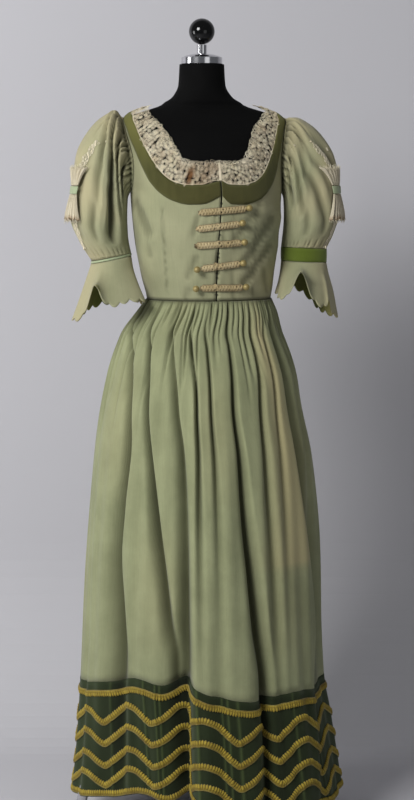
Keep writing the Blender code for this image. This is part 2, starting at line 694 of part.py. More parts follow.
# %% Frog fastenings and ball buttons on the fronts
fronts = surface_of(*panels)
for number, (z, x_left, x_right, rise, has_left) in enumerate(FROGS):
    def bow(share):
        return z + rise * (1 - 2 * share)

    rows = []
    for v in (-0.5, 0.0, 0.5):
        row = []
        for k in range(7):
            share = k / 6
            x = x_left + (x_right - x_left) * share
            plump = FROG_HIGH * (1.0 if 0 < k < 6 else 0.6)
            origin = Vector((x, -0.3, bow(share) + plump * v))
            hit, normal, index, distance = fronts.ray_cast(origin, Vector((0, 1, 0)))
            row.append((hit if hit else origin) - Vector((0, 0.004, 0)))
        rows.append(row)
    seat(fronts, rows, GAP, 0.0034, "cord", f"frog_{number + 1}", lambda u, v: 1.0 if v == 0.5 else 0.45)
    ends = [("right", x_right + 0.0098, bow(1.0) + 0.002)]
    if has_left:
        ends.append(("left", x_left - 0.0098, bow(0.0)))
    for word, x, height in ends:
        hit, normal, index, distance = fronts.ray_cast(Vector((x, -0.3, height)), Vector((0, 1, 0)))
        centre = hit + normal * (BALL_R + GAP)
        for turn in range(4):
            near, normal, index, distance = fronts.find_nearest(centre)
            centre = near + (centre - near).normalized() * max(distance, BALL_R + GAP)
        ball(f"button_{number + 1}_{word}", centre, BALL_R, "gilt", 8, 5)

# %% Sleeves, cuffs and flounces
for side, word, table, cuff, flounce in ((-1, "left", LEFT_SLEEVE, LEFT_CUFF, LEFT_FLOUNCE),
                                         (1, "right", RIGHT_SLEEVE, RIGHT_CUFF, RIGHT_FLOUNCE)):
    head = []
    for k in range(SLEEVE_COLUMNS):
        wide, z = arm_edge(360.0 * k / SLEEVE_COLUMNS, -0.0009)
        head.append(on_body(side * (90.0 - wide), z, OUT))
    rings = [head] + [sleeve_ring(r, SLEEVE_COLUMNS, r[5], ARM_Y[side]) for r in table]
    rings[-1] = sleeve_ring(table[-1], SLEEVE_COLUMNS, 0.0, ARM_Y[side])
    host = surface_of(wall(f"sleeve_{word}", rings, CLOTH, "wool_light", True, flip=side < 0))
    cuff_rings = [sleeve_ring(r, SLEEVE_COLUMNS, 0.0, ARM_Y[side]) for r in cuff]
    wall(f"cuff_{word}", cuff_rings, TRIM, "ribbon" if side < 0 else "bright_velvet", True, flip=side < 0)
    wall(f"flounce_{word}", flounce_rings(flounce, FLOUNCE_COLUMNS, 0.6 if side < 0 else 2.4, ARM_Y[side]), CLOTH,
         "wool_light", True, flip=side < 0)
    # name, lower height, upper height, lower width, upper width, paint, rise, folds
    trims = [("bow_fan_upper", 1.3865, 1.4200, 0.016, 0.040, "lace", 0.006, 3),
             ("bow_tie", 1.3700, 1.3855, 0.022, 0.022, "ribbon", 0.004, 1),
             ("bow_fan_lower", 1.3180, 1.3690, 0.056, 0.016, "lace", 0.007, 4),
             ("lace_line_upper", 1.4220, 1.4800, 0.007, 0.007, "lace", 0.0015, 1),
             ("lace_line_lower", 1.2560, 1.3160, 0.007, 0.007, "lace", 0.0015, 1)]
    for part_name, low, high, low_wide, high_wide, paint, rise, folds in trims:
        rows = []
        across = 2 * folds + 1
        long = part_name.startswith("lace_line")
        for r in range(6 if long else 3):
            share = r / (5 if long else 2)
            z = low + (high - low) * share
            wide = low_wide + (high_wide - low_wide) * share
            row = []
            for c in range(across):
                u = c / (across - 1) - 0.5
                y = ARM_Y[side] - 0.036 + 0.018 * (1.40 - z) / 0.14 + wide * u
                origin = Vector((side * 0.40, y, z))
                hit, normal, index, distance = host.ray_cast(origin, Vector((-side, 0, 0)))
                row.append((hit if hit else origin) + Vector((side * 0.004, 0, 0)))
            rows.append(row)
        seat(host, rows, GAP, rise, paint, f"{part_name}_{word}",
             lambda u, v, n=folds: 0.35 + 0.65 * abs(math.sin(math.pi * n * u + 0.5 * (n == 1))))

# %% Skirt and its velvet hem band
rows = list(reversed(skirt_rows()))
skirt_normals = grid_normals(rows, True, False)
seam_row = len(rows) - 1 - BAND_ROW
band_gap = Vector((0, 0, GAP))
velvet = {}
for word, pick in (("front", 0), ("back", 1)):
    cloth = [parted(halves(r)[pick], GAP * 0.5) for r in rows]
    facing = [halves(line)[pick] for line in skirt_normals]
    wall(f"skirt_{word}", cloth[seam_row:], CLOTH, "wool", normals=facing[seam_row:])
    band = cloth[:seam_row] + [[p - band_gap for p in cloth[seam_row]]]
    velvet[word] = wall(f"hem_band_{word}", band, TRIM, "dark_velvet", normals=facing[:seam_row + 1])

# %% Gold braid rows on the band
band_rows = [[p - band_gap for p in rows[seam_row]]] + list(reversed(rows[:seam_row]))
normals = list(reversed(skirt_normals[:seam_row + 1]))
under = surface_of(*velvet.values())
lengths = [0.0]
middle_row = band_rows[2]
for c in range(COLUMNS):
    lengths.append(lengths[-1] + (middle_row[(c + 1) % COLUMNS] - middle_row[c]).length)


def on_band(c, drop):
    """Point and normal on a column of the band at a drop below its top."""
    line = [r[c] for r in band_rows]
    z = line[0].z - drop * (line[0].z - line[-1].z) / 0.252
    for k in range(len(line) - 1):
        if z >= line[k + 1].z or k == len(line) - 2:
            share = (line[k].z - z) / (line[k].z - line[k + 1].z)
            return (line[k].lerp(line[k + 1], share),
                    normals[k][c].lerp(normals[k + 1][c], share).normalized())


for name, drop, wave, high in BRAIDS + [("braid_hem", 0.2440, 0.0, 0.012)]:
    verts, faces, facings = [], [], []
    for c in range(COLUMNS):
        turn = 2 * math.pi * (WAVES * lengths[c] / lengths[-1] - 0.06)
        centre = drop + wave * math.cos(turn)
        for d in (-high / 2, 0.0, high / 2):
            point, normal = on_band(c, centre + d)
            verts.append(point + normal * GAP)
            facings.append(normal)
    for c in range(COLUMNS):
        verts[3 * c + 1] = (verts[3 * c] + verts[3 * c + 2]) / 2
    for turn in range(4):
        for c in range(COLUMNS):
            a, b = 3 * c, 3 * ((c + 1) % COLUMNS)
            short = 0.0
            for u in (0.0, 0.2, 0.4, 0.6, 0.8):
                for v in (0.0, 0.25, 0.5, 0.75, 1.0):
                    p = verts[a].lerp(verts[b], u).lerp(verts[a + 2].lerp(verts[b + 2], u), v)
                    hit, normal, index, distance = under.find_nearest(p)
                    short = max(short, GAP * 0.9 - (p - hit).dot(normal))
            if short > 0:
                for k in (a, a + 2, b, b + 2):
                    verts[k] = verts[k] + facings[k] * short
    for c in range(COLUMNS):
        verts[3 * c + 1] = (verts[3 * c] + verts[3 * c + 2]) / 2 + facings[3 * c + 1] * 0.0032
    for c in range(COLUMNS):
        a, b = 3 * c, 3 * ((c + 1) % COLUMNS)
        for k in range(3):
            m = (k + 1) % 3
            faces.append((a + k, a + m, b + m, b + k))
    add_mesh(name, verts, faces, "braid")
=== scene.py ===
# %% [markdown]
# # A biedermeier ball gown on a dress form
# The gown is wool cloth with velvet, lace and gimp trimming, worn on a black form with a chrome stand.
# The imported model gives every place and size. This lesson builds the look of each piece round it.

# %% Load the frame
import bpy
import math
import random
import numpy as np
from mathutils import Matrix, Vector
from mathutils.bvhtree import BVHTree


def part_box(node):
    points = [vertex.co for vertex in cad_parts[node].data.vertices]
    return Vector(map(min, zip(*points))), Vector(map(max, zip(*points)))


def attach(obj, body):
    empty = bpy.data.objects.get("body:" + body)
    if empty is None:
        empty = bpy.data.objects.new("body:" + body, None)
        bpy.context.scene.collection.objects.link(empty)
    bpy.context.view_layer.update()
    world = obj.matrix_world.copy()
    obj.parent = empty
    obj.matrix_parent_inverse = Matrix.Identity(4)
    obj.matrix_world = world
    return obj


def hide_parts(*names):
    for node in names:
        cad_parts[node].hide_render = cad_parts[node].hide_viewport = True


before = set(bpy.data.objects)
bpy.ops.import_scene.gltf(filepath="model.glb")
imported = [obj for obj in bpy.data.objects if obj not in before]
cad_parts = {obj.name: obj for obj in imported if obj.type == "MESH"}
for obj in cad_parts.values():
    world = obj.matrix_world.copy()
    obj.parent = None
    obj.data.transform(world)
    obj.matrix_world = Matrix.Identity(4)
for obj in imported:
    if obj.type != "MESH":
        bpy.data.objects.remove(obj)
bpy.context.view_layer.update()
bpy.ops.object.select_all(action="DESELECT")

# %% [markdown]
# ## The named sizes
# A tailor works from a short list of measures. These tables repeat those of the model's source,
# so that each finer sheet lies where its plain solid lies.

# %% Sizes of the body, the skirt and the sleeves
CLOTH = 0.0012
OUT = 0.0038
YAW = math.radians(10.0)
FORM = (-0.011, 0.006)
WAIST_Z, UNDERARM_Z, ARM_TOP_Z, ARM_WIDE = 1.1460, 1.375, 1.5190, 17.0
ARM_Y = {-1: -0.022, 1: 0.030}
# height, half width, front depth, back depth, centre x, centre y
BODY = [(0.900, .135, .108, .110, -.006, 0), (0.940, .146, .112, .120, -.004, 0), (1.000, .150, .110, .124, -.002, 0),
        (1.070, .140, .104, .112, .002, 0), (1.140, .130, .102, .100, .004, 0), (1.200, .140, .111, .104, .001, 0),
        (1.260, .1495, .123, .110, -.001, 0), (1.320, .1555, .131, .116, -.002, 0), (1.360, .158, .131, .119, -.002, .001),
        (1.400, .160, .124, .121, -.003, .003), (1.440, .163, .109, .121, -.004, .006), (1.470, .167, .094, .114, -.005, .010),
        (1.500, .171, .073, .096, -.006, .012), (1.522, .172, .052, .070, -.006, .014), (1.536, .160, .043, .052, -.007, .014),
        (1.547, .128, .042, .046, -.008, .013), (1.557, .096, .044, .046, -.009, .012), (1.575, .064, .047, .047, -.010, .010),
        (1.600, .0505, .048, .048, -.011, .008), (1.6437, .0475, .0475, .0475, -.011, .006)]
# height, half width, front depth, back depth, centre x, recess of the left front
SKIRT = [(1.1455, .1358, .1078, .1056, .004, 0), (1.1200, .1510, .120, .119, 0, 0), (1.0670, .1765, .138, .143, -.011, .010),
         (.9900, .2030, .162, .172, -.011, .020), (.9100, .2180, .182, .192, -.013, .030), (.8100, .2350, .199, .208, -.010, .045),
         (.5900, .2545, .225, .235, -.008, .075), (.3170, .2680, .250, .259, -.009, .120), (.2350, .2780, .258, .267, -.005, .150),
         (.1500, .2880, .266, .276, -.002, .185), (.0650, .2990, .275, .285, 0, .220)]
BAND_TOP, HEM = 0.317, 0.065
# the main folds: section angle and depth in millimetres at each height, width before and after the middle
FOLD_Z = (0.065, 0.355, 0.450, 0.580, 0.710, 0.840, 0.925, 1.045, 1.100)
FOLDS = [
    ((-54.3, -49.7, -52.0, -55.0, -52.8, -50.0, -51.8, -60.8, -71.6), (7, 16, 22, 28, 33, 34, 28, 17, 10), 4.6, 2.6),
    ((-15.3, -15.7, -19.9, -25.0, -30.5, -35.0, -38.6, -44.3, -49.7), (5, 15, 20, 24, 26, 26, 22, 14, 9), 3.2, 2.4),
    ((-11.1, -8.1, -8.8, -9.7, -10.9, -13.1, -16.8, -24.7, -29.2), (36, 30, 24, 18, 16, 18, 18, 12, 8), 5.0, 1.9),
    ((-1.3, -0.2, -0.8, -1.6, -2.0, -2.1, -2.7, -8.6, -12.3), (0, 2, 5, 9, 15, 18, 19, 14, 8), 2.0, 2.0),
    ((7.5, 9.6, 9.4, 8.9, 8.6, 7.9, 7.2, 5.0, 1.4), (5, 2, 3, 5, 9, 14, 16, 12, 7), 2.2, 2.0),
    ((31.3, 34.7, 31.9, 29.0, 26.3, 25.1, 23.8, 25.0, 23.4), (40, 44, 44, 42, 36, 28, 22, 15, 9), 4.0, 1.8),
    ((36.9, 41.2, 40.8, 40.2, 40.1, 41.4, 42.8, 46.0, 45.4), (9, 8, 9, 10, 12, 15, 17, 14, 9), 3.4, 2.2),
    ((42.0, 47.9, 47.7, 48.4, 50.0, 52.0, 54.0, 57.0, 60.0), (4, 2, 2, 3, 5, 7, 9, 8, 6), 2.6, 2.4),
    ((60.0, 72.0, 75.0, 73.0, 67.5, 65.0, 65.0, 66.5, 69.0), (10, 14, 20, 28, 30, 30, 26, 19, 10), 2.6, 11.0)]
# folds at the sides and the back: angle at waist, knee and hem, depth, width before and after
SIDE_FOLDS = [(80, 81, 82, .010, 4, 4), (104, 102, 101, .014, 4.5, 5), (119, 121, 122, .020, 4, 3), (138, 139, 140, .015, 5, 4),
              (156, 157, 158, .010, 3, 4), (173, 175, 177, .019, 4, 3), (194, 197, 200, .020, 3, 4), (214, 216, 219, .014, 5, 4),
              (232, 236, 238, .020, 4, 3), (254, 256, 258, .013, 4, 5), (279, 280, 281, .009, 4, 4)]
# section angle and height along each edge
FRONT_NECK = [(3.3, 1.397), (10, 1.389), (20, 1.388), (31, 1.394), (41, 1.412), (48, 1.437), (54, 1.466), (59, 1.498),
              (66, 1.527), (90, 1.545)]
FRONT_BAND = [(3, 1.366), (11, 1.350), (21, 1.349), (33, 1.356), (45, 1.373), (55, 1.400), (63, 1.436), (68.5, 1.468),
              (73, 1.496), (80, 1.518), (90, 1.532)]
BACK_NECK = [(180, 1.470), (170, 1.470), (158, 1.473), (146, 1.479), (136, 1.487), (128, 1.496), (121, 1.506), (114, 1.518),
             (106, 1.531), (90, 1.545)]
BACK_BAND = [(180, 1.438), (170, 1.438), (158, 1.441), (145, 1.447), (134, 1.457), (125, 1.469), (117, 1.482), (111, 1.496),
             (103, 1.514), (90, 1.532)]
LACE_FRONT = [(2.5, 1.431), (10, 1.430), (18, 1.431), (24, 1.439), (28, 1.456), (31, 1.478), (35, 1.500), (42, 1.519),
              (54, 1.537), (90, 1.5505)]
LACE_BACK = [(180, 1.507), (169, 1.507), (157, 1.509), (145, 1.513), (134, 1.519), (125, 1.525), (118, 1.531), (110, 1.538),
             (101, 1.545), (90, 1.5505)]
# outer x and z, under x and z, half depth of each ring down a sleeve
SLEEVES = {-1: [(-.1960, 1.5440, -.1685, 1.3600, .057), (-.2250, 1.5290, -.1695, 1.3450, .065), (-.2540, 1.4980, -.1700, 1.3290, .069),
                (-.2790, 1.4490, -.1700, 1.3130, .070), (-.2870, 1.3850, -.1695, 1.2970, .070), (-.2905, 1.3230, -.1685, 1.2800, .066),
                (-.2740, 1.2720, -.1660, 1.2620, .057), (-.2470, 1.2270, -.1620, 1.2440, .046)],
           1: [(.1900, 1.5310, .1640, 1.3600, .057), (.2210, 1.5150, .1650, 1.3460, .064), (.2500, 1.4860, .1655, 1.3320, .067),
               (.2730, 1.4460, .1655, 1.3180, .068), (.2840, 1.3850, .1650, 1.3060, .068), (.2850, 1.3300, .1640, 1.2920, .065),
               (.2740, 1.2860, .1620, 1.2740, .057), (.2580, 1.2520, .1600, 1.2560, .048)]}
CUFFS = {-1: [(-.2470, 1.2262, -.1620, 1.2432, .046), (-.2476, 1.2215, -.1618, 1.2385, .046)],
         1: [(.2580, 1.2512, .1600, 1.2552, .048), (.2580, 1.2225, .1600, 1.2265, .048)]}
# the same and the drift of the centre along y
FLOUNCES = {-1: [(-.2480, 1.2208, -.1618, 1.2378, .047, 0), (-.2550, 1.1950, -.1560, 1.2120, .053, -.010),
                 (-.2660, 1.1550, -.1440, 1.1800, .064, -.028), (-.2770, 1.1140, -.1300, 1.1480, .076, -.054)],
            1: [(.2580, 1.2218, .1600, 1.2258, .048, 0), (.2610, 1.1990, .1570, 1.2080, .054, -.010),
                (.2680, 1.1650, .1520, 1.1860, .066, -.030), (.2740, 1.1160, .1440, 1.1640, .078, -.052)]}
# height, left end x, right end x, drop of the left end, ball on the left
FROGS = [(1.3360, -.017, .080, -.004, 0), (1.3035, -.021, .066, -.005, 0), (1.2660, -.025, .070, -.003, 0),
         (1.2200, -.012, .067, -.005, 1), (1.1740, -.014, .073, 0, 1)]
# name, drop below the band's top, wave height, braid height, side of the edge cord
BRAIDS = [("straight", .0240, 0, .013, 1), ("wave_1", .0730, .0165, .013, -1), ("wave_2", .1200, .0165, .013, -1),
          ("wave_3", .1680, .0165, .013, -1), ("wave_4", .2110, .0165, .013, -1), ("hem", .2440, 0, .012, -1)]
print("tables ready: body", len(BODY), "skirt", len(SKIRT), "folds", len(FOLDS))

# %% [markdown]
# ## Camera, floor and light
# The photograph was taken from the front at breast height with a long lens, so the sides run nearly parallel.
# A pale sweep goes from the floor up behind the gown, and a large soft light stands at the viewer's left.

# %% Camera and sweep
def linear(colour):
    """sRGB hex colour to the linear numbers that a shader takes."""
    parts = [int(colour[k:k + 2], 16) / 255 for k in (1, 3, 5)]
    return tuple(c / 12.92 if c <= 0.04045 else ((c + 0.055) / 1.055) ** 2.4 for c in parts) + (1.0,)


def add(tree, kind, settings=None, links=None):
    """Add a node with its settings and links."""
    made = tree.nodes.new(kind)
    for key, value in (settings or {}).items():
        if isinstance(key, int) or key in made.inputs:
            made.inputs[key].default_value = value
        else:
            setattr(made, key, value)
    for key, source in (links or {}).items():
        tree.links.new(source, made.inputs[key])
    return made


camera = bpy.data.objects.new("camera", bpy.data.cameras.new("camera"))
bpy.context.scene.collection.objects.link(camera)
camera.location = (0.0, -4.7, 1.45)
camera.rotation_euler = (Vector((0, 0, 0.925)) - camera.location).to_track_quat("-Z", "Y").to_euler()
camera.data.sensor_width = 36.0
camera.data.lens = 18 * 4.7 / 0.86
bpy.context.scene.camera = camera

bpy.ops.mesh.primitive_plane_add(size=1, location=(0, -2.6, 0))
sweep = bpy.context.object
sweep.name = "paper_sweep"
sweep.scale = (14, 7, 1)
bpy.ops.object.transform_apply(location=True, scale=True)
bpy.ops.object.mode_set(mode="EDIT")
bpy.ops.mesh.select_all(action="DESELECT")
bpy.ops.object.mode_set(mode="OBJECT")
for edge in sweep.data.edges:
    edge.select = all(sweep.data.vertices[v].co.y > 0 for v in edge.vertices)
bpy.ops.object.mode_set(mode="EDIT")
bpy.ops.mesh.extrude_region_move(TRANSFORM_OT_translate={"value": (0, 0, 5)})
bpy.ops.object.mode_set(mode="OBJECT")
bend = sweep.modifiers.new("bend", "BEVEL")
bend.width, bend.segments = 0.45, 16
sweep.data.materials.append(bpy.data.materials.new("paper_sweep"))
sweep.data.materials[0].use_nodes = True
shader = sweep.data.materials[0].node_tree.nodes["Principled BSDF"]
shader.inputs["Base Color"].default_value = linear("#C4C3C7")
shader.inputs["Roughness"].default_value = 0.95

# name, place, aim, size, watts
LIGHTS = [("window_light", (-1.85, -2.80, 2.85), (0, 0, 1.05), 1.3, 118),
          ("room_light", (2.6, -4.4, 1.2), (0, 0, 0.9), 2.4, 15),
          ("sweep_light", (-2.6, -0.6, 1.3), (-1.5, 0.9, 1.2), 1.0, 21)]
for name, place, aim, size, watts in LIGHTS:
    lamp = bpy.data.objects.new(name, bpy.data.lights.new(name, "AREA"))
    lamp.data.size, lamp.data.energy = size, watts
    lamp.location = place
    lamp.rotation_euler = (Vector(aim) - Vector(place)).to_track_quat("-Z", "Y").to_euler()
    bpy.context.scene.collection.objects.link(lamp)
world = bpy.data.worlds.new("studio")
bpy.context.scene.world = world
world.use_nodes = True
world.node_tree.nodes["Background"].inputs["Color"].default_value = linear("#D9DCE2")
world.node_tree.nodes["Background"].inputs["Strength"].default_value = 0.19
bpy.context.scene.view_settings.view_transform = "Standard"
print("camera lens", round(camera.data.lens, 1), "lights", len(LIGHTS))

# %% [markdown]
# ## Cloth materials
# Wool cloth is matt and shows its threads and slubs. Velvet is dark seen straight on and pale where the pile
# turns away, because the light catches the ends of its nap; that pale sheen is painted into the velvet's colour.
# Each pattern runs on the sheet's own flat coordinates in metres, as printed or woven cloth does, so it follows
# the folds. Shade in folds and creases is painted into the cloth's colour too.

# %% Wool, velvet, ribbon and lace thread
def cloth_material(name, base, shade, streak=0.10, thread=0.0026, bump=0.35, rough=0.92, sheen=0.12, fading_and_painted_light="#B8A878",
                   edge=None):
    """Woven cloth: a base and a shade colour, threads of a real spacing in metres, and a nap; fold shade is painted in,
    and so is a pale sheen where an edge colour is given.
    """
    made = bpy.data.materials.new(name)
    made.use_nodes = True
    tree = made.node_tree
    shader = tree.nodes["Principled BSDF"]
    shader.inputs["Roughness"].default_value = rough
    shader.inputs["Sheen Weight"].default_value = sheen
    shader.inputs["Sheen Roughness"].default_value = 0.5
    shader.inputs["Specular IOR Level"].default_value = 0.2
    flat = add(tree, "ShaderNodeTexCoord").outputs["UV"]
    cloud = add(tree, "ShaderNodeTexNoise", {"Scale": 9.0, "Detail": 5.0, "Roughness": 0.62}, {"Vector": flat})
    mixed = add(tree, "ShaderNodeMix", {"data_type": "RGBA", 6: linear(base), 7: linear(shade)})
    spread_out = add(tree, "ShaderNodeMapRange", {"From Min": 0.36, "From Max": 0.66}, {"Value": cloud.outputs["Fac"]})
    tree.links.new(spread_out.outputs["Result"], mixed.inputs[0])
    # slubs run along the warp: long and thin
    long_way = add(tree, "ShaderNodeMapping", {"Scale": (1.0, 0.055, 1.0)}, {"Vector": flat})
    slub = add(tree, "ShaderNodeTexNoise", {"Scale": 0.75 / thread, "Detail": 3.0}, {"Vector": long_way.outputs[0]})
    tone = add(tree, "ShaderNodeMapRange", {"To Min": 1.0 - streak, "To Max": 1.0 + streak}, {"Value": slub.outputs["Fac"]})
    tinted = add(tree, "ShaderNodeVectorMath", {"operation": "SCALE"}, {0: mixed.outputs[2], "Scale": tone.outputs[0]})
    # this attribute holds real fading and stains on some pieces, and painted shade and painted highlights on others
    wear_and_painted_light_mask = add(tree, "ShaderNodeAttribute", {"attribute_name": "fading_and_painted_light"})
    old = add(tree, "ShaderNodeMix", {"data_type": "RGBA", 7: linear(fading_and_painted_light)},
              {0: wear_and_painted_light_mask.outputs["Fac"], 6: tinted.outputs[0]})
    # painted shade: points deep in a fold, and other places where shade falls, are darkened toward a deep, yellower
    # copy of the shade colour
    painted_shade = add(tree, "ShaderNodeAttribute", {"attribute_name": "painted_shade"})
    deep = add(tree, "ShaderNodeMix", {"data_type": "RGBA", 7: tuple(c * k for c, k in zip(linear(shade), (0.13, 0.125, 0.08))) + (1.0,)},
               {0: painted_shade.outputs["Fac"], 6: old.outputs[2]})
    last = deep.outputs[2]
    # painted sheen: an edge colour lightens the cloth where its surface turns away from the view
    if edge:
        turned = add(tree, "ShaderNodeLayerWeight", {"Blend": 0.42})
        painted_sheen = add(tree, "ShaderNodeMix", {"data_type": "RGBA", 7: linear(edge)},
                  {0: turned.outputs["Facing"], 6: last})
        last = painted_sheen.outputs[2]
    tree.links.new(last, shader.inputs["Base Color"])
    # the weave: warp and weft ribs that cross, drawn a little coarser than life so that they show
    warp = add(tree, "ShaderNodeTexWave", {"bands_direction": "X", "Scale": 0.314 / thread, "Distortion": 1.2,
                                           "Detail": 1.0}, {"Vector": flat})
    weft = add(tree, "ShaderNodeTexWave", {"bands_direction": "Y", "Scale": 0.314 / thread, "Distortion": 1.2,
                                           "Detail": 1.0}, {"Vector": flat})
    weave = add(tree, "ShaderNodeMath", {"operation": "ADD"}, {0: warp.outputs["Fac"], 1: weft.outputs["Fac"]})
    height = add(tree, "ShaderNodeMath", {"operation": "ADD"}, {0: weave.outputs[0], 1: slub.outputs["Fac"]})
    relief = add(tree, "ShaderNodeBump", {"Strength": bump, "Distance": 0.0006}, {"Height": height.outputs[0]})
    tree.links.new(relief.outputs["Normal"], shader.inputs["Normal"])
    return made


WOOL = cloth_material("sage_wool_cloth", "#969A75", "#888C69", fading_and_painted_light="#B0A67C")
WOOL_LIGHT = cloth_material("yellowed_wool_cloth", "#9D9D7C", "#929473", fading_and_painted_light="#B3A985")
# the last colour of each velvet is its painted sheen where the surface turns away; the dark velvet's second last colour
# is the pale of its painted crease highlights
OLIVE = cloth_material("olive_cotton_velvet", "#4A4826", "#3A391D", 0.10, 0.0020, 0.25, 0.95, 0.12, "#72703E", "#66673A")
BRIGHT = cloth_material("bright_velvet_ribbon", "#5C6A22", "#50601D", 0.10, 0.0018, 0.20, 0.85, 0.15, "#6B7A38", "#7E8F42")
DARK = cloth_material("dark_green_velvet", "#252E18", "#1C2412", 0.16, 0.0022, 0.30, 0.90, 0.08, "#46522F", "#3B4729")
LINING = cloth_material("olive_lining", "#78803F", "#666E34", 0.08, 0.0020, 0.20, 0.75, 0.10)
RIBBON = cloth_material("pale_satin_ribbon", "#A5B08C", "#97A381", 0.12, 0.0016, 0.25, 0.55, 0.15)
LACE_CLOTH = cloth_material("cream_lace_cloth", "#D3CAB2", "#BDB091", 0.22, 0.0034, 0.9, 0.9, 0.1, "#8E6A45")


def thread_material(name, base, shade, grain=0.004, bump=0.4, rough=0.85, fading_and_painted_light="#8A6038"):
    """Spun thread or cord: a base and a shade colour that change every few millimetres."""
    made = bpy.data.materials.new(name)
    made.use_nodes = True
    tree = made.node_tree
    shader = tree.nodes["Principled BSDF"]
    shader.inputs["Roughness"].default_value = rough
    shader.inputs["Sheen Weight"].default_value = 0.1
    shader.inputs["Specular IOR Level"].default_value = 0.25
    place = add(tree, "ShaderNodeTexCoord").outputs["Object"]
    grainy = add(tree, "ShaderNodeTexNoise", {"Scale": 1.0 / grain, "Detail": 3.0}, {"Vector": place})
    cloud = add(tree, "ShaderNodeTexNoise", {"Scale": 26.0, "Detail": 2.0}, {"Vector": place})
    both = add(tree, "ShaderNodeMath", {"operation": "MULTIPLY_ADD", 1: 0.5, 2: -0.02},
               {0: grainy.outputs["Fac"]})
    total = add(tree, "ShaderNodeMath", {"operation": "MULTIPLY_ADD", 1: 0.55},
                {0: cloud.outputs["Fac"], 2: both.outputs[0]})
    wide = add(tree, "ShaderNodeMapRange", {"From Min": 0.38, "From Max": 0.66}, {"Value": total.outputs[0]})
    mixed = add(tree, "ShaderNodeMix", {"data_type": "RGBA", 6: linear(base), 7: linear(shade)}, {0: wide.outputs[0]})
    # this attribute holds real stains and rust on some pieces, and painted shade in the grooves of braid and plait on
    # others
    wear_and_painted_light_mask = add(tree, "ShaderNodeAttribute", {"attribute_name": "fading_and_painted_light"})
    old = add(tree, "ShaderNodeMix", {"data_type": "RGBA", 7: linear(fading_and_painted_light)}, {0: wear_and_painted_light_mask.outputs["Fac"], 6: mixed.outputs[2]})
    tree.links.new(old.outputs[2], shader.inputs["Base Color"])
    relief = add(tree, "ShaderNodeBump", {"Strength": bump, "Distance": 0.0008}, {"Height": grainy.outputs["Fac"]})
    tree.links.new(relief.outputs["Normal"], shader.inputs["Normal"])
    return made


LACE = thread_material("cream_cotton_lace_thread", "#EFE7CE", "#DACFAF", 0.0035)
# for the cord and the gimp the last colour is mostly painted shade in the gaps between strands and ribs; on the cord it
# also gives a spot of rust
CORD = thread_material("braided_cream_cord", "#BDAD86", "#9C8960", 0.0022, 0.6, fading_and_painted_light="#4A3C24")
GIMP = thread_material("old_gold_gimp", "#BBA43A", "#937E26", 0.0026, 0.6, 0.7, "#3A2C0E")
EDGE_CORD = thread_material("gimp_edge_cord", "#8F8446", "#6E5A2A", 0.0025, 0.5, 0.6)


def hard_material(name, colour, rough, metal, coat=0.0, grain=0.0006, bump=0.05, shine=0.5):
    """Metal, lacquer, rubber or knitted cover, with the fine unevenness of its surface."""
    made = bpy.data.materials.new(name)
    made.use_nodes = True
    tree = made.node_tree
    shader = tree.nodes["Principled BSDF"]
    shader.inputs["Metallic"].default_value = metal
    shader.inputs["Coat Weight"].default_value = coat
    shader.inputs["Specular IOR Level"].default_value = shine
    place = add(tree, "ShaderNodeTexCoord").outputs["Object"]
    fine = add(tree, "ShaderNodeTexNoise", {"Scale": 1.0 / grain, "Detail": 2.0}, {"Vector": place})
    cloud = add(tree, "ShaderNodeTexNoise", {"Scale": 14.0, "Detail": 3.0}, {"Vector": place})
    uneven = add(tree, "ShaderNodeMapRange", {"To Min": rough * 0.85, "To Max": min(1.0, rough * 1.2)},
                 {"Value": cloud.outputs["Fac"]})
    tree.links.new(uneven.outputs[0], shader.inputs["Roughness"])
    dark = tuple(c * 0.82 for c in linear(colour)[:3]) + (1.0,)
    mixed = add(tree, "ShaderNodeMix", {"data_type": "RGBA", 6: linear(colour), 7: dark}, {0: cloud.outputs["Fac"]})
    tree.links.new(mixed.outputs[2], shader.inputs["Base Color"])
    relief = add(tree, "ShaderNodeBump", {"Strength": bump, "Distance": 0.0004}, {"Height": fine.outputs["Fac"]})
    tree.links.new(relief.outputs["Normal"], shader.inputs["Normal"])
    return made


JERSEY = hard_material("black_cotton_jersey", "#080808", 0.95, 0.0, 0.0, 0.0015, 0.3, 0.12)
CHROME = hard_material("polished_chrome", "#D5D5D8", 0.14, 1.0)
LACQUER = hard_material("black_gloss_lacquer", "#060606", 0.10, 0.0, 0.0, 0.0006, 0.02, 0.4)
RUBBER = hard_material("moulded_rubber", "#222222", 0.8, 0.0)
GILT = hard_material("worn_gilt_brass", "#A5945F", 0.44, 0.35, 0.0, 0.0012, 0.2)
BLACK_WIRE = hard_material("japanned_hook_wire", "#101010", 0.4, 0.6)
print("materials", len(bpy.data.materials))

# %% [markdown]
# ## From a table of points to a sheet
# Cloth is a thin shell. A grid of points gives its outer face, Solidify gives it the real thickness to the
# inside, and the flat coordinates of the cut go into the UV map for the weave.

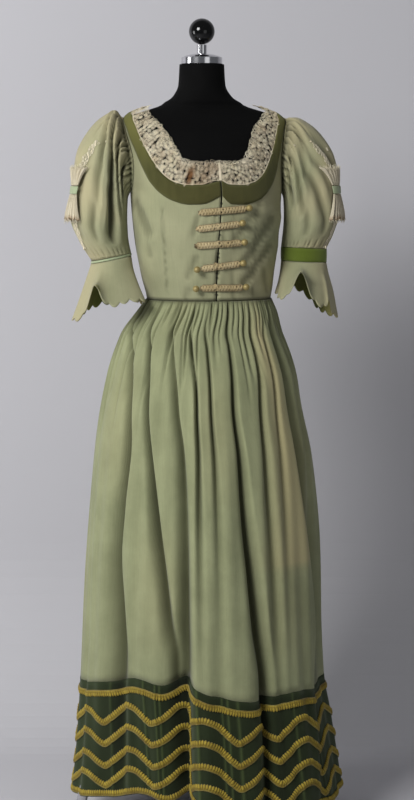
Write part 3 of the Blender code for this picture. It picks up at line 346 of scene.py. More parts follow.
# %% Curve through a table, and sheets from grids
def eased(keys, values, at):
    """Smooth curve through a table's rows, with no overshoot."""
    keys, values = np.asarray(keys, float), np.asarray(values, float)
    shape = (-1,) + (1,) * (values.ndim - 1)
    gaps = np.diff(keys).reshape(shape)
    steps = np.diff(values, axis=0) / gaps
    both = steps[:-1] * steps[1:]
    inner = np.where(both > 0, 2 * both / np.where(both > 0, steps[:-1] + steps[1:], 1.0), 0.0)
    slopes = np.concatenate([steps[:1], inner, steps[-1:]])
    at = np.clip(np.atleast_1d(np.asarray(at, float)), keys[0], keys[-1])
    i = np.clip(np.searchsorted(keys, at, side="right") - 1, 0, len(keys) - 2)
    h = gaps[i]
    u = (at - keys[i]).reshape(shape) / h
    return (values[i] * (1 + 2 * u) * (1 - u) ** 2 + slopes[i] * h * u * (1 - u) ** 2
            + values[i + 1] * u * u * (3 - 2 * u) + slopes[i + 1] * h * u * u * (u - 1))


def unit(v):
    return v / np.maximum(np.linalg.norm(v, axis=-1, keepdims=True), 1e-12)


def apply_modifiers(piece):
    bpy.ops.object.select_all(action="DESELECT")
    bpy.context.view_layer.objects.active = piece
    piece.select_set(True)
    for modifier in list(piece.modifiers):
        bpy.ops.object.modifier_apply(modifier=modifier.name)
    piece.select_set(False)


def mesh_piece(name, verts, faces, material, slot, replaces=()):
    """A piece from points and faces that rides on the gown's one body."""
    mesh = bpy.data.meshes.new(name)
    mesh.from_pydata([tuple(v) for v in np.asarray(verts, float)], [], faces)
    mesh.update()
    piece = bpy.data.objects.new(name, mesh)
    bpy.context.scene.collection.objects.link(piece)
    mesh.materials.append(material)
    mesh.polygons.foreach_set("use_smooth", np.ones(len(mesh.polygons), bool))
    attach(piece, "root")
    if replaces:
        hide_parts(*replaces)
    return piece


def grid_faces(rows, columns, closed):
    faces = []
    for r in range(rows - 1):
        for c in range(columns if closed else columns - 1):
            d = (c + 1) % columns
            faces.append((r * columns + c, (r + 1) * columns + c, (r + 1) * columns + d, r * columns + d))
    return faces


def sheet_piece(name, points, flat_uv, material, slot, replaces=(), closed=False, axis=(0.0, 0.0), thick=CLOTH, fading_and_painted_light=None,
                painted_shade=None, lining=None):
    """A cloth shell whose outer face runs through a grid of points, row by row."""
    rows, columns = points.shape[:2]
    faces = grid_faces(rows, columns, closed)
    flat_points = points.reshape(-1, 3)
    quads = flat_points[np.array(faces)]
    normal = np.cross(quads[:, 2] - quads[:, 0], quads[:, 3] - quads[:, 1])
    away = quads.mean(1)[:, :2] - np.array(axis)
    if (normal[:, :2] * away).sum() < 0:
        faces = [tuple(reversed(f)) for f in faces]
    piece = mesh_piece(name, flat_points, faces, material, slot, replaces)
    layer = piece.data.uv_layers.new(name="flat_cut")
    uv = flat_uv.reshape(-1, 2)
    index = np.array([loop.vertex_index for loop in piece.data.loops])
    values = uv[index].copy()
    if closed:
        width = uv[:, 0].max() + uv[1, 0] - uv[0, 0]
        poly = np.repeat(np.arange(len(faces)), 4)
        top = np.array([values[4 * k:4 * k + 4, 0].max() for k in range(len(faces))])
        values[:, 0] += np.where(top[poly] - values[:, 0] > width / 2, width, 0.0)
    layer.data.foreach_set("uv", values.ravel())
    # real fading and stains, and on some pieces painted shade and painted highlights
    wear_and_painted_light_mask = piece.data.attributes.new("fading_and_painted_light", "FLOAT", "POINT")
    wear_and_painted_light_mask.data.foreach_set("value", (np.zeros(len(flat_points)) if fading_and_painted_light is None else fading_and_painted_light.ravel()).astype(np.float32))
    # painted shade: a share per point that the cloth material darkens toward a deep shade colour
    dark = piece.data.attributes.new("painted_shade", "FLOAT", "POINT")
    dark.data.foreach_set("value", (np.zeros(len(flat_points)) if painted_shade is None else painted_shade.ravel()).astype(np.float32))
    if lining:
        piece.data.materials.append(lining)
    shell = piece.modifiers.new("wall", "SOLIDIFY")
    shell.thickness, shell.offset = thick, -1.0
    shell.use_quality_normals = True
    if lining:
        shell.material_offset = 1
    apply_modifiers(piece)
    return piece


def area_of(piece):
    return sum(p.area for p in piece.data.polygons) / 2


def tree_of(*pieces):
    """Search tree over the faces of one or more pieces."""
    verts, faces = [], []
    for piece in pieces:
        base = len(verts)
        verts += [v.co.copy() for v in piece.data.vertices]
        faces += [tuple(base + i for i in p.vertices) for p in piece.data.polygons]
    return BVHTree.FromPolygons(verts, faces)


def tube(path, radius, sides=8, closed=False, up=(0.0, 0.0, 1.0)):
    """Points and faces of a round bar along a path."""
    path = np.asarray(path, float)
    ahead = np.roll(path, -1, 0) - np.roll(path, 1, 0)
    if not closed:
        ahead[0], ahead[-1] = path[1] - path[0], path[-1] - path[-2]
    ahead = unit(ahead)
    side = unit(np.cross(ahead, np.asarray(up, float)))
    lift = np.cross(side, ahead)
    turn = np.arange(sides) * 2 * math.pi / sides
    radius = np.broadcast_to(np.asarray(radius, float), (len(path),))
    ring = (side[:, None] * np.cos(turn)[None, :, None] + lift[:, None] * np.sin(turn)[None, :, None])
    verts = (path[:, None] + ring * radius[:, None, None]).reshape(-1, 3)
    faces = []
    steps = len(path) if closed else len(path) - 1
    for k in range(steps):
        a, b = k * sides, ((k + 1) % len(path)) * sides
        for s in range(sides):
            t = (s + 1) % sides
            faces.append((a + s, a + t, b + t, b + s))
    if not closed:
        faces.append(tuple(range(sides - 1, -1, -1)))
        faces.append(tuple(range(len(verts) - sides, len(verts))))
    return verts, faces


def joined(parts):
    """Several lots of points and faces as one."""
    verts, faces, base = [], [], 0
    for v, f in parts:
        verts.append(v)
        faces += [tuple(base + i for i in g) for g in f]
        base += len(v)
    return np.concatenate(verts), faces


# %% [markdown]
# ## The dress form
# The form is a padded torso under black cotton jersey, closed at the neck by a chrome cap with a knob on a stem.
# The torso is a loft through body sections. The cap, stem and knob are turned parts, so they start as
# primitives and are shaped by inset and extrude.

# %% Torso, cap, stem and knob
BODY_KEYS, BODY_VALUES = [r[0] for r in BODY], [r[1:] for r in BODY]


def on_body(angle, z, off=0.0):
    """Points of the form's surface at section angles from the front and heights."""
    shape = np.broadcast(angle, z).shape
    t = np.radians(np.broadcast_to(angle, shape).ravel())
    h = np.broadcast_to(z, shape).ravel().astype(float)

    def place(tt, zz):
        a, front, back, cx, cy = eased(BODY_KEYS, BODY_VALUES, zz).T
        depth = np.where(np.cos(tt) >= 0, front, back)
        lx, ly = a * np.sin(tt), -depth * np.cos(tt)
        return np.stack([cx + lx * math.cos(YAW) - ly * math.sin(YAW), cy + lx * math.sin(YAW) + ly * math.cos(YAW), zz], -1)

    around = place(t + 0.02, h) - place(t - 0.02, h)
    rise = place(t, np.minimum(h + 0.002, 1.64)) - place(t, h - 0.002)
    normal = unit(np.cross(around, rise))
    return (place(t, h) + normal * np.broadcast_to(off, shape).ravel()[:, None]).reshape(shape + (3,))


def primitive(name, material, replaces, low_z=None):
    piece = bpy.context.object
    piece.name = piece.data.name = name
    bpy.ops.object.transform_apply(location=True, rotation=True, scale=True)
    piece.data.materials.clear()
    piece.data.materials.append(material)
    bpy.ops.object.shade_smooth_by_angle(angle=math.radians(35))
    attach(piece, "root")
    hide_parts(*replaces)
    return piece


def pick_faces(piece, test):
    """Leave edit mode with just the faces that pass the test selected, and go back in."""
    bpy.ops.object.mode_set(mode="OBJECT")
    for group in (piece.data.vertices, piece.data.edges, piece.data.polygons):
        group.foreach_set("select", np.zeros(len(group), bool))
    for poly in piece.data.polygons:
        poly.select = test(poly)
    bpy.ops.object.mode_set(mode="EDIT")
    bpy.ops.mesh.select_mode(type="FACE")


torso_z = np.concatenate([np.linspace(0.903, 1.46, 40), np.linspace(1.468, 1.6435, 45)])
angles = np.arange(72) * 5.0
shy = np.where((torso_z > 1.46) & (torso_z < 1.56) | (torso_z > 1.1) & (torso_z < 1.3), -0.0024,
               np.where(torso_z < 1.46, -0.0012, 0.0))
torso_points = on_body(angles[None, :], torso_z[:, None], shy[:, None])
torso_faces = grid_faces(len(torso_z), 72, True)
torso_faces = [tuple(reversed(f)) for f in torso_faces]
torso_faces += [tuple(range(71, -1, -1)), tuple(range(len(torso_z) * 72 - 72, len(torso_z) * 72))]
torso = mesh_piece("torso_jersey", torso_points.reshape(-1, 3), torso_faces, JERSEY, "jersey", ("form_torso",))

bpy.ops.mesh.primitive_cylinder_add(vertices=64, radius=0.0435, depth=0.0150, location=(*FORM, 1.6437 + 0.0075))
cap = bpy.context.object
bpy.ops.object.transform_apply(location=True)
pick_faces(cap, lambda p: p.normal.z > 0.9)
bpy.ops.mesh.inset(thickness=0.003)
bpy.ops.transform.translate(value=(0, 0, -0.0012))
bpy.ops.mesh.inset(thickness=0.004)
bpy.ops.transform.translate(value=(0, 0, 0.0035))
bpy.ops.mesh.inset(thickness=0.012)
bpy.ops.transform.translate(value=(0, 0, 0.0033))
bpy.ops.mesh.inset(thickness=0.012)
bpy.ops.transform.translate(value=(0, 0, 0.0015))
bpy.ops.object.mode_set(mode="OBJECT")
edge = cap.modifiers.new("edge", "BEVEL")
edge.width, edge.segments = 0.0012, 3
cap = primitive("neck_cap_chrome", CHROME, ("form_neck_cap",))
apply_modifiers(cap)

bpy.ops.mesh.primitive_cylinder_add(vertices=48, radius=0.0105, depth=0.0184, location=(*FORM, 1.6664 + 0.0092))
stem = bpy.context.object
bpy.ops.object.transform_apply(location=True)
pick_faces(stem, lambda p: p.normal.z < -0.9)
bpy.ops.mesh.inset(thickness=0.002)
bpy.ops.mesh.extrude_region_move(TRANSFORM_OT_translate={"value": (0, 0, -0.0008)})
bpy.ops.object.mode_set(mode="OBJECT")
stem = primitive("stem_chrome", CHROME, ("form_stem",))

bpy.ops.mesh.primitive_uv_sphere_add(segments=64, ring_count=32, radius=0.0275, location=(*FORM, 1.7128))
knob = bpy.context.object
bpy.ops.object.transform_apply(location=True)
pick_faces(knob, lambda p: p.center.z < 1.7128 - 0.0268)
bpy.ops.mesh.inset(thickness=0.0006)
bpy.ops.transform.translate(value=(0, 0, 0.0008))
bpy.ops.object.mode_set(mode="OBJECT")
knob = primitive("knob_lacquer", LACQUER, ("form_ball",))
print("form pieces", torso.name, cap.name, stem.name, knob.name)

# %% [markdown]
# ## The stand
# A chrome pole goes down into a hub with three bent legs on rubber feet. A leg is a bar bent over a former:
# flat out from the hub, then round and down to the floor, so it is swept along one smooth curve.

# %% Pole, hub, legs and feet
bpy.ops.mesh.primitive_cylinder_add(vertices=48, radius=0.0125, depth=0.7606, location=(FORM[0], 0, 0.1404 + 0.3803))
pole = bpy.context.object
bpy.ops.object.transform_apply(location=True)
pick_faces(pole, lambda p: abs(p.normal.z) > 0.9)
bpy.ops.mesh.inset(thickness=0.0022, use_individual=True)
bpy.ops.object.mode_set(mode="OBJECT")
edge = pole.modifiers.new("edge", "BEVEL")
edge.width, edge.segments = 0.0012, 3
pole = primitive("pole_chrome", CHROME, ("stand_pole",))
apply_modifiers(pole)
bpy.ops.mesh.primitive_cylinder_add(vertices=48, radius=0.0300, depth=0.0400, location=(FORM[0], 0, 0.1200))
hub = bpy.context.object
bpy.ops.object.transform_apply(location=True)
pick_faces(hub, lambda p: abs(p.normal.z) > 0.9)
bpy.ops.mesh.inset(thickness=0.005, use_individual=True)
bpy.ops.object.mode_set(mode="OBJECT")
edge = hub.modifiers.new("edge", "BEVEL")
edge.width, edge.segments = 0.0025, 4
hub = primitive("hub_chrome", CHROME, ("stand_hub",))
apply_modifiers(hub)
# distance from the pole, height
LEG = [(0.0306, .118), (.080, .120), (.130, .124), (.180, .1272), (.2150, .1255), (.2390, .1150), (.2540, .0960), (.2625, .0700),
       (.2675, .0440), (.2700, .0218)]
for number, heading in enumerate((190.0, 310.0, 70.0)):
    h = math.radians(heading)
    run = eased(range(len(LEG)), LEG, np.linspace(0, len(LEG) - 1, 55))
    path = np.stack([FORM[0] + run[:, 0] * math.cos(h), run[:, 0] * math.sin(h), run[:, 1]], -1)
    verts, faces = tube(path, 0.0113, 20, up=(-math.sin(h), math.cos(h), 0))
    mesh_piece(f"leg_chrome_{number + 1}", verts, faces, CHROME, "chrome", (f"stand_leg_{number + 1}",))
    bpy.ops.mesh.primitive_cylinder_add(vertices=32, radius=0.0145, depth=0.0195,
                                        location=(FORM[0] + .2705 * math.cos(h), .2705 * math.sin(h), 0.00975))
    foot = bpy.context.object
    bpy.ops.object.transform_apply(location=True)
    pick_faces(foot, lambda p: p.normal.z > 0.9)
    bpy.ops.mesh.inset(thickness=0.0025)
    bpy.ops.object.mode_set(mode="OBJECT")
    primitive(f"foot_rubber_{number + 1}", RUBBER, (f"stand_foot_{number + 1}",))
print("legs", number + 1)

# %% [markdown]
# ## The skirt
# A long rectangle of wool is gathered into the waist. Near the waist each gather is a sharp valley between
# round ridges. Lower down they run together into a few deep folds, and the cloth opens out to the hem.
# The surface is one function of angle and height, so the band and the braid can lie on it.

# %% Skirt surface
random.seed(11)
SKIRT_KEYS, SKIRT_VALUES = [r[0] for r in SKIRT], [r[1:] for r in SKIRT]
# angle at the waist, drift towards the nearest fold, depth, width, height where it dies out
GATHERS = []
knees = [f[0][4] for f in FOLDS] + [f[1] for f in SIDE_FOLDS]
for k in range(72):
    angle = -90 + 360 * (k + 0.5) / 72 + random.uniform(-1.6, 1.6)
    near = min(knees, key=lambda f: abs((angle - f + 180) % 360 - 180))
    pull = ((near - angle + 180) % 360 - 180) * random.uniform(0.0, 0.4)
    GATHERS.append((angle, pull, random.choice((.0045, .006, .009, .012)), random.uniform(0.65, 1.0),
                    random.choice((1.10, 1.08, 1.06, 1.04, 1.01, .97, .90))))
# fine upright creases of the velvet: angle, height of the ridge, width
CREASES = [(-34, .0016, .7), (-26.8, .0016, .6), (-24.4, .0013, .6), (-3.2, .0022, .9), (9.2, .0016, .6), (11.9, .0014, .6),
           (16.8, .0020, .9), (-58, .0015, .8), (47, .0014, .7), (66, .0012, .7), (120, .0015, .8), (160, .0015, .8), (205, .0016, .8),
           (243, .0014, .8)]


# how much the hem is lifted at each angle: the band dips and rises from fold to fold
HANG = [(-90, 0), (-60, -.012), (-42, 0), (-24, -.012), (-10, .017), (-7.5, .020), (-4.5, .026), (5, .012), (18, 0), (40, .002), (90, 0)]


def fold_width(gap, z, before, after, first):
    """Half width of a main fold: crisp under the waist, wider and softer towards the hem."""
    soft = 1 + (1.0 if first else 0.25) * np.clip((0.62 - z) / 0.3, 0, 1)
    return np.where(gap < 0, before, after) * soft * (1 - 0.45 * np.clip((z - 0.66) / 0.24, 0, 1))


def raised(angle):
    """The left front hangs higher: how much of the full rise an angle has."""
    a = (angle + 180.0) % 360.0 - 180.0
    return 1 / (1 + np.exp(-(a + 66.0) / 6.0)) / (1 + np.exp((a + 6.5) / 1.6))


def skirt_surface(angle, z, off=0.0, creased=False):
    """Points of the skirt's outer face at angles in degrees and heights in metres."""
    shape = np.broadcast(angle, z).shape
    angle = np.broadcast_to(angle, shape).ravel().astype(float)
    z = np.broadcast_to(z, shape).ravel().astype(float)
    a, front, back, cx, recess = eased(SKIRT_KEYS[::-1], SKIRT_VALUES[::-1], z).T
    t = np.radians(angle)
    turned = t - YAW * np.clip((z - 0.99) / 0.14, 0, 1)
    depth = np.where(np.cos(turned) >= 0, front, back)
    radius = 1.0 / np.sqrt((np.sin(turned) / a) ** 2 + (np.cos(turned) / depth) ** 2)
    down = (SKIRT[0][0] - z) / (SKIRT[0][0] - SKIRT[-1][0])
    radius *= 1.0 - recess * raised(angle)
    for middles, depths, before, after in FOLDS:
        middle, deep = eased(FOLD_Z, np.stack([middles, depths], -1), z).T
        gap = (angle - middle + 180.0) % 360.0 - 180.0
        wide = fold_width(gap, z, before, after, knees[0] == middles[4])
        radius -= 0.001 * deep * np.minimum(1.0, down * 14.0) * np.exp(-(gap / wide) ** 2)
    for waist, knee, hem, deep, before, after in SIDE_FOLDS:
        middle = np.where(down < 0.5, waist + (knee - waist) * down * 2, knee + (hem - knee) * (down - 0.5) * 2)
        gap = (angle - middle + 180.0) % 360.0 - 180.0
        wide = np.where(gap < 0, before, after) * (0.75 + 0.5 * down)
        radius -= deep * np.minimum(1.0, down * 9.0) * (0.8 + 0.3 * down) * np.exp(-(gap / wide) ** 2)
    for start, pull, deep, wide, dies in GATHERS:
        share = (1.1455 - z) / (1.1455 - dies)
        gap = (angle - start - pull * np.minimum(share, 1.0) + 180.0) % 360.0 - 180.0
        grow = np.clip(share * 3.5 + 0.25, 0, 1) * np.clip(1.25 - share, 0, 1) ** 0.7
        near_waist = np.clip(0.35 + (1.1455 - z) / 0.022, 0, 1)
        radius -= deep * grow * near_waist * np.exp(-(gap / (wide * (1 + 0.8 * np.clip(share, 0, 1)))) ** 2)
    # the hang of the cloth is never quite even
    calm = np.clip((1.05 - z) / 0.25, 0, 1)
    radius += calm * (0.0014 * np.sin(t * 23 + 3.0 * z) + 0.0011 * np.sin(t * 37 - 4.0 * z + 1.0) + 0.0010 * np.sin(t * 13 + 9 * z))
    share = np.maximum(0.0, (0.9 - z) / 0.9)
    lifted = z + 0.036 * raised(angle) * np.minimum(1.0, share * 1.7)
    hang = eased([r[0] for r in HANG], [r[1] for r in HANG], (angle + 180.0) % 360.0 - 180.0)
    lifted += hang * np.minimum(1.0, share * 1.7)
    lifted += 0.004 * np.sin(np.radians(angle * 9.0)) * np.clip((0.40 - z) / 0.083, 0, 1)
    if creased:
        for middle, high, wide in CREASES:
            gap = (angle - middle + 180.0) % 360.0 - 180.0
            radius += high * np.exp(-(gap / wide) ** 2) * np.clip((BAND_TOP - z) / 0.03, 0, 1)
    radius = radius + off
    return np.stack([cx + radius * np.sin(t), -radius * np.cos(t), lifted], -1).reshape(shape + (3,))


def skirt_painted_shade(angle, z):
    """Painted shade: how dark each point is painted, from 0 on a ridge to 1 deep in a fold or just under the waist."""
    shape = np.broadcast(angle, z).shape
    angle = np.broadcast_to(angle, shape).ravel().astype(float)
    z = np.broadcast_to(z, shape).ravel().astype(float)
    open_part = np.ones(len(z))
    for middles, depths, before, after in FOLDS:
        middle, deep = eased(FOLD_Z, np.stack([middles, depths], -1), z).T
        gap = (angle - middle + 180.0) % 360.0 - 180.0
        left = middles[4] < -15
        wide = fold_width(gap, z, before, after, knees[0] == middles[4]) * (1.0 if left else 0.85)
        open_part *= 1 - np.minimum(0.94, deep / (12.5 if left else 21.0)) * np.exp(-(gap / wide) ** 2)
    for start, pull, deep, wide, dies in GATHERS:
        share = (1.1455 - z) / (1.1455 - dies)
        gap = (angle - start - pull * np.minimum(share, 1.0) + 180.0) % 360.0 - 180.0
        fade = np.clip(1.15 - share, 0, 1) ** 0.7 * np.clip(0.4 + share * 4, 0, 1)
        open_part *= 1 - np.minimum(0.72, 70.0 * deep) * fade * np.exp(-(gap / (0.7 * wide)) ** 2)
    # painted shadow along the top, just under the bodice's edge
    under = np.exp(-((1.1455 - z) / 0.006) ** 2) * 0.6
    return (1 - open_part * (1 - under)).clip(0, 1).reshape(shape)


def skirt_faded(angle, z):
    """The sun has bleached a long tan streak down the right front, which ends in a level edge."""
    a = (angle + 180.0) % 360.0 - 180.0
    middle = 53.0 + (1.14 - z) * 9.0
    wide = 4.5 + (1.14 - z) * 24.0
    streak = 0.85 * np.exp(-((a - middle) / wide) ** 2) * np.clip((z - 0.576) / 0.014, 0, 1) * np.clip((1.15 - z) / 0.08, 0, 1)
    old = 0.16 * np.clip(np.sin(np.radians(a * 5.0 + 40)) * np.sin(z * 9.0), 0, 1)
    return np.clip(streak + old, 0, 1)


# name, from angle, to angle, columns
HALVES = [("front", -89.93, 89.93, 420), ("back", 90.07, 269.93, 260)]
skirt_z = np.concatenate([np.linspace(1.1455, 1.03, 20)[:-1], np.linspace(1.03, BAND_TOP + 0.0002, 42)])
HEM_ROUND = 1.92
skirt_pieces = []
for word, start, end, columns in HALVES:
    angles = np.linspace(start, end, columns)
    points = skirt_surface(angles[None, :], skirt_z[:, None])
    uv = np.stack(np.broadcast_arrays(angles[None, :] / 360 * HEM_ROUND, skirt_z[:, None]), -1)
    piece = sheet_piece(f"skirt_cloth_{word}", points, uv, WOOL, "wool", (f"skirt_{word}",),
                        fading_and_painted_light=skirt_faded(angles[None, :], skirt_z[:, None]),
                        painted_shade=0.9 * skirt_painted_shade(angles[None, :], skirt_z[:, None]))
    skirt_pieces.append(piece)
    print(piece.name, "area", round(area_of(piece), 3), "faces", len(piece.data.polygons))

# %% [markdown]
# ## The velvet hem band
# The band is cotton velvet sewn to the skirt's lower edge. It stands a little stiffer, with upright creases where
# it was folded away, and the light that the crushed pile catches on them is painted as pale lines.

# %% Hem band
band_z = np.linspace(BAND_TOP - 0.0002, HEM, 26)
bands = []
for word, start, end, columns in HALVES:
    angles = np.linspace(start, end, columns)
    points = skirt_surface(angles[None, :], band_z[:, None], 0.0003, True)
    uv = np.stack(np.broadcast_arrays(angles[None, :] / 360 * HEM_ROUND, band_z[:, None]), -1)
    # painted highlight: pale lines along the crease ridges, where the crushed pile catches the light
    painted_crease_highlight = np.zeros((1, len(angles)))
    for middle, high, wide in CREASES:
        painted_crease_highlight = np.maximum(painted_crease_highlight, np.exp(-(((angles - middle + 180) % 360 - 180) / (wide * 0.8)) ** 2)[None, :])
    piece = sheet_piece(f"hem_velvet_{word}", points, uv, DARK, "dark_velvet", (f"hem_band_{word}",), thick=0.0013,
                        fading_and_painted_light=np.broadcast_to(painted_crease_highlight * 0.75, points.shape[:2]).copy(),
                        painted_shade=0.9 * skirt_painted_shade(angles[None, :], band_z[:, None]))
    bands.append(piece)
    print(piece.name, "area", round(area_of(piece), 3))

# %% [markdown]
# ## The gold gimp
# Gimp is a narrow braid: ribs of gold thread are looped across a cord. One edge is tufted and the other is the
# smooth cord. The straight row has its cord on top, the waves and the hem row have it below. Each row is one
# sweep whose height rises and falls with the ribs.

# %% Braid rows
RIB = 0.0058
reach = np.linspace(-90, 270, 1441)
middle_row = skirt_surface(reach, np.full(1441, 0.150))
run = np.concatenate([[0], np.cumsum(np.linalg.norm(np.diff(middle_row, axis=0), axis=1))])


def braid_line(angle, drop, wave):
    """Height on the band of a row at an angle: round crests and pointed troughs."""
    turn = 2 * math.pi * (14 * np.interp(angle, reach, run / run[-1]) - 0.06)
    shape = 0.45 * np.cos(turn) + 0.55 * (1 - 2 * np.abs(np.sin(turn / 2)))
    return BAND_TOP - drop - wave * shape


for name, drop, wave, high, cord_side in BRAIDS:
    line = skirt_surface(reach, braid_line(reach, drop, wave), 0.0, True)
    along = np.concatenate([[0], np.cumsum(np.linalg.norm(np.diff(line, axis=0), axis=1))])
    ribs = round(along[-1] / RIB)
    steps = ribs * 4
    angle = np.interp(np.arange(steps) * along[-1] / steps, along, reach)
    z = braid_line(angle, drop, wave)
    centre = skirt_surface(angle, z, 0.0, True)
    e = 0.25
    normal = unit(np.cross(skirt_surface(angle + e, z, 0.0, True) - skirt_surface(angle - e, z, 0.0, True),
                           skirt_surface(angle, z + 0.002, 0.0, True) - skirt_surface(angle, z - 0.002, 0.0, True)))
    ahead = unit(np.roll(centre, -1, 0) - np.roll(centre, 1, 0))
    across = unit(np.cross(normal, ahead)) * -1
    across *= np.sign(across[:, 2:3])
    random.seed(31)
    uneven = np.repeat([random.uniform(0.75, 1.10) for k in range(ribs)], 4)
    puff = np.array([0.08, 0.8, 1.0, 0.75])[np.arange(steps) % 4] * uneven
    # place across the width, height, share of the tuft
    SECTION = [(-.50, 0.05, 0), (-.44, 0.62, 0), (-.18, 0.95, 0), (.12, 1.0, .2), (.40, 0.78, .8), (.52, 0.08, 1)]
    verts = []
    for w, h, tuft in SECTION:
        side = w * -cord_side
        place = across * (side * (high - 0.0022) + np.sign(side) * tuft * 0.0030 * puff)[:, None]
        verts.append(centre + place + normal * (0.0006 + h * (0.0014 + 0.0024 * puff))[:, None])
    count = len(SECTION)
    verts = np.stack(verts, 1)
    # painted shade: the gaps between the ribs and the low edges of the braid are darkened toward the gimp's dark colour
    painted_groove_shade = np.clip(1 - puff, 0, 1)[:, None] * np.array([0.2, 0.2, 0.5, 1.0, 1.0, 0.9])[None, :]
    painted_groove_shade = np.maximum(painted_groove_shade, np.array([0.75, 0.3, 0.65, 0.15, 0.0, 0.2])[None, :])
    faces = []
    for k in range(steps):
        a, b = k * count, (k + 1) % steps * count
        for s in range(count):
            t = (s + 1) % count
            faces.append((a + s, b + s, b + t, a + t) if cord_side < 0 else (a + s, a + t, b + t, b + s))
    body = (verts.reshape(-1, 3), faces)
    cord_path = (centre + across * (cord_side * (high / 2 - 0.0008)) + normal * 0.0017)[::2]
    piece = mesh_piece(f"gimp_{name}", *joined([body, tube(cord_path, 0.0011, 5, True)]), GIMP, "braid", (f"braid_{name}",))
    wear_and_painted_light_mask = piece.data.attributes.new("fading_and_painted_light", "FLOAT", "POINT")
    wear_and_painted_light_mask.data.foreach_set("value", np.concatenate([painted_groove_shade.ravel() * 0.9, np.zeros(len(piece.data.vertices) - painted_groove_shade.size)])
                          .astype(np.float32))
    piece.data.materials.append(EDGE_CORD)
    index = np.zeros(len(piece.data.polygons), np.int32)
    index[len(faces):] = 1
    piece.data.polygons.foreach_set("material_index", index)
    print(piece.name, "length", round(along[-1], 2), "ribs", ribs, "faces", len(piece.data.polygons))

# %% [markdown]
# ## The bodice
# Four panels of the same wool fit close to the form and meet in a narrow gap at the front. They are pulled by the
# frogs, so soft diagonal creases run up from the lower right balls, and there are dimples by each frog.

# %% Panels
def spread(points, count):
    """Evenly spaced section angles and heights along an edge."""
    points = np.array(points, float)
    body = on_body(points[:, 0], points[:, 1])
    run = np.concatenate([[0], np.cumsum(np.linalg.norm(np.diff(body, axis=0), axis=1))])
    return eased(run, points, np.linspace(0, run[-1], count))


def arm_edge(turn, grow=0.0):
    t = math.radians(turn)
    tall = (ARM_TOP_Z - UNDERARM_Z) / 2 + grow
    return (ARM_WIDE + grow * 400) * math.sin(t), (ARM_TOP_Z + UNDERARM_Z) / 2 + tall * math.cos(t)


def closure(z):
    return -1.2 + 4.5 * np.clip((z - 1.14) / 0.22, 0, 1)


FINE = 4
NECK_ROWS = 7


def panel(neck, band, start, side, facing):
    """Section angles and heights of a panel: neck edge, band edge, then rows out to waist, side and armhole."""
    columns = 19 * FINE + 1
    neck, band = spread(neck, columns), spread(band, columns)
    outer = [(start + (90 - start) * k / (6 * FINE), WAIST_Z) for k in range(6 * FINE + 1)]
    outer += [(90, WAIST_Z + (UNDERARM_Z - WAIST_Z) * k / (3 * FINE)) for k in range(1, 3 * FINE + 1)]
    for k in range(1, 10 * FINE + 1):
        wide, z = arm_edge(180.0 - 180.0 * k / (10 * FINE))
        outer.append((90.0 - facing * wide, z))
    outer = np.array(outer)
    grid = [neck + (band - neck) * s for s in np.linspace(0, 1, NECK_ROWS)]
    grid += [band + (outer - band) * s for s in np.linspace(0, 1, 25)[1:]]
    grid = np.array(grid)
    seam = facing * 0.06
    at_side = grid[..., 0] > 89.9 if facing > 0 else grid[..., 0] < 90.1
    grid[..., 0] -= np.where(at_side, seam, 0.0)
    grid[..., 0] *= side
    return grid


# x and z at each end, depth, width, of a soft trough in the cloth
PULLS = [(.080, 1.222, .138, 1.318, .0030, .0085), (.078, 1.183, .132, 1.262, .0028, .0080), (.060, 1.275, .110, 1.345, .0016, .007),
         (.020, 1.243, .024, 1.205, .0014, .005), (.034, 1.287, .036, 1.262, .0012, .005), (.018, 1.325, .019, 1.300, .0012, .004),
         (-.018, 1.322, -.030, 1.285, .0012, .006), (-.022, 1.238, -.040, 1.196, .0012, .007), (-.150, 1.350, -.118, 1.290, .0022, .010),
         (-.138, 1.330, -.120, 1.240, .0014, .009), (-.040, 1.170, -.046, 1.150, .0012, .006), (.050, 1.170, .052, 1.150, .0010, .005),
         (.120, 1.215, .128, 1.160, .0014, .006)]
# x and z at each end of the stitched lines: dart seam left, dart seam right, placket edge
SEAMS = [(-.0943, 1.3445, -.0838, 1.158), (.1030, 1.340, .0950, 1.150), (.0534, 1.350, .0534, 1.150)]


def near_line(x, z, line):
    """Distance from a line between two points, and the share along it."""
    x0, z0, x1, z1 = line
    dx, dz = x1 - x0, z1 - z0
    share = ((x - x0) * dx + (z - z0) * dz) / (dx * dx + dz * dz)
    near = np.clip(share, 0, 1)
    return np.hypot(x - x0 - near * dx, z - z0 - near * dz), share


def panel_relief(points, front):
    """How far the cloth stands off its plain fit: a faint ripple, and on the front the pulls are troughs."""
    x, z = points[..., 0], points[..., 2]
    relief = 0.0006 * np.sin(x * 70 + z * 31) * np.sin(z * 47 - x * 20)
    if front:
        for x0, z0, x1, z1, deep, wide in PULLS:
            gap, share = near_line(x, z, (x0, z0, x1, z1))
            relief = relief - 1.7 * deep * np.exp(-(gap / wide) ** 2) + deep * np.exp(-((gap - 1.7 * wide) / wide) ** 2)
    return np.clip(relief, -0.0022, 0.006)


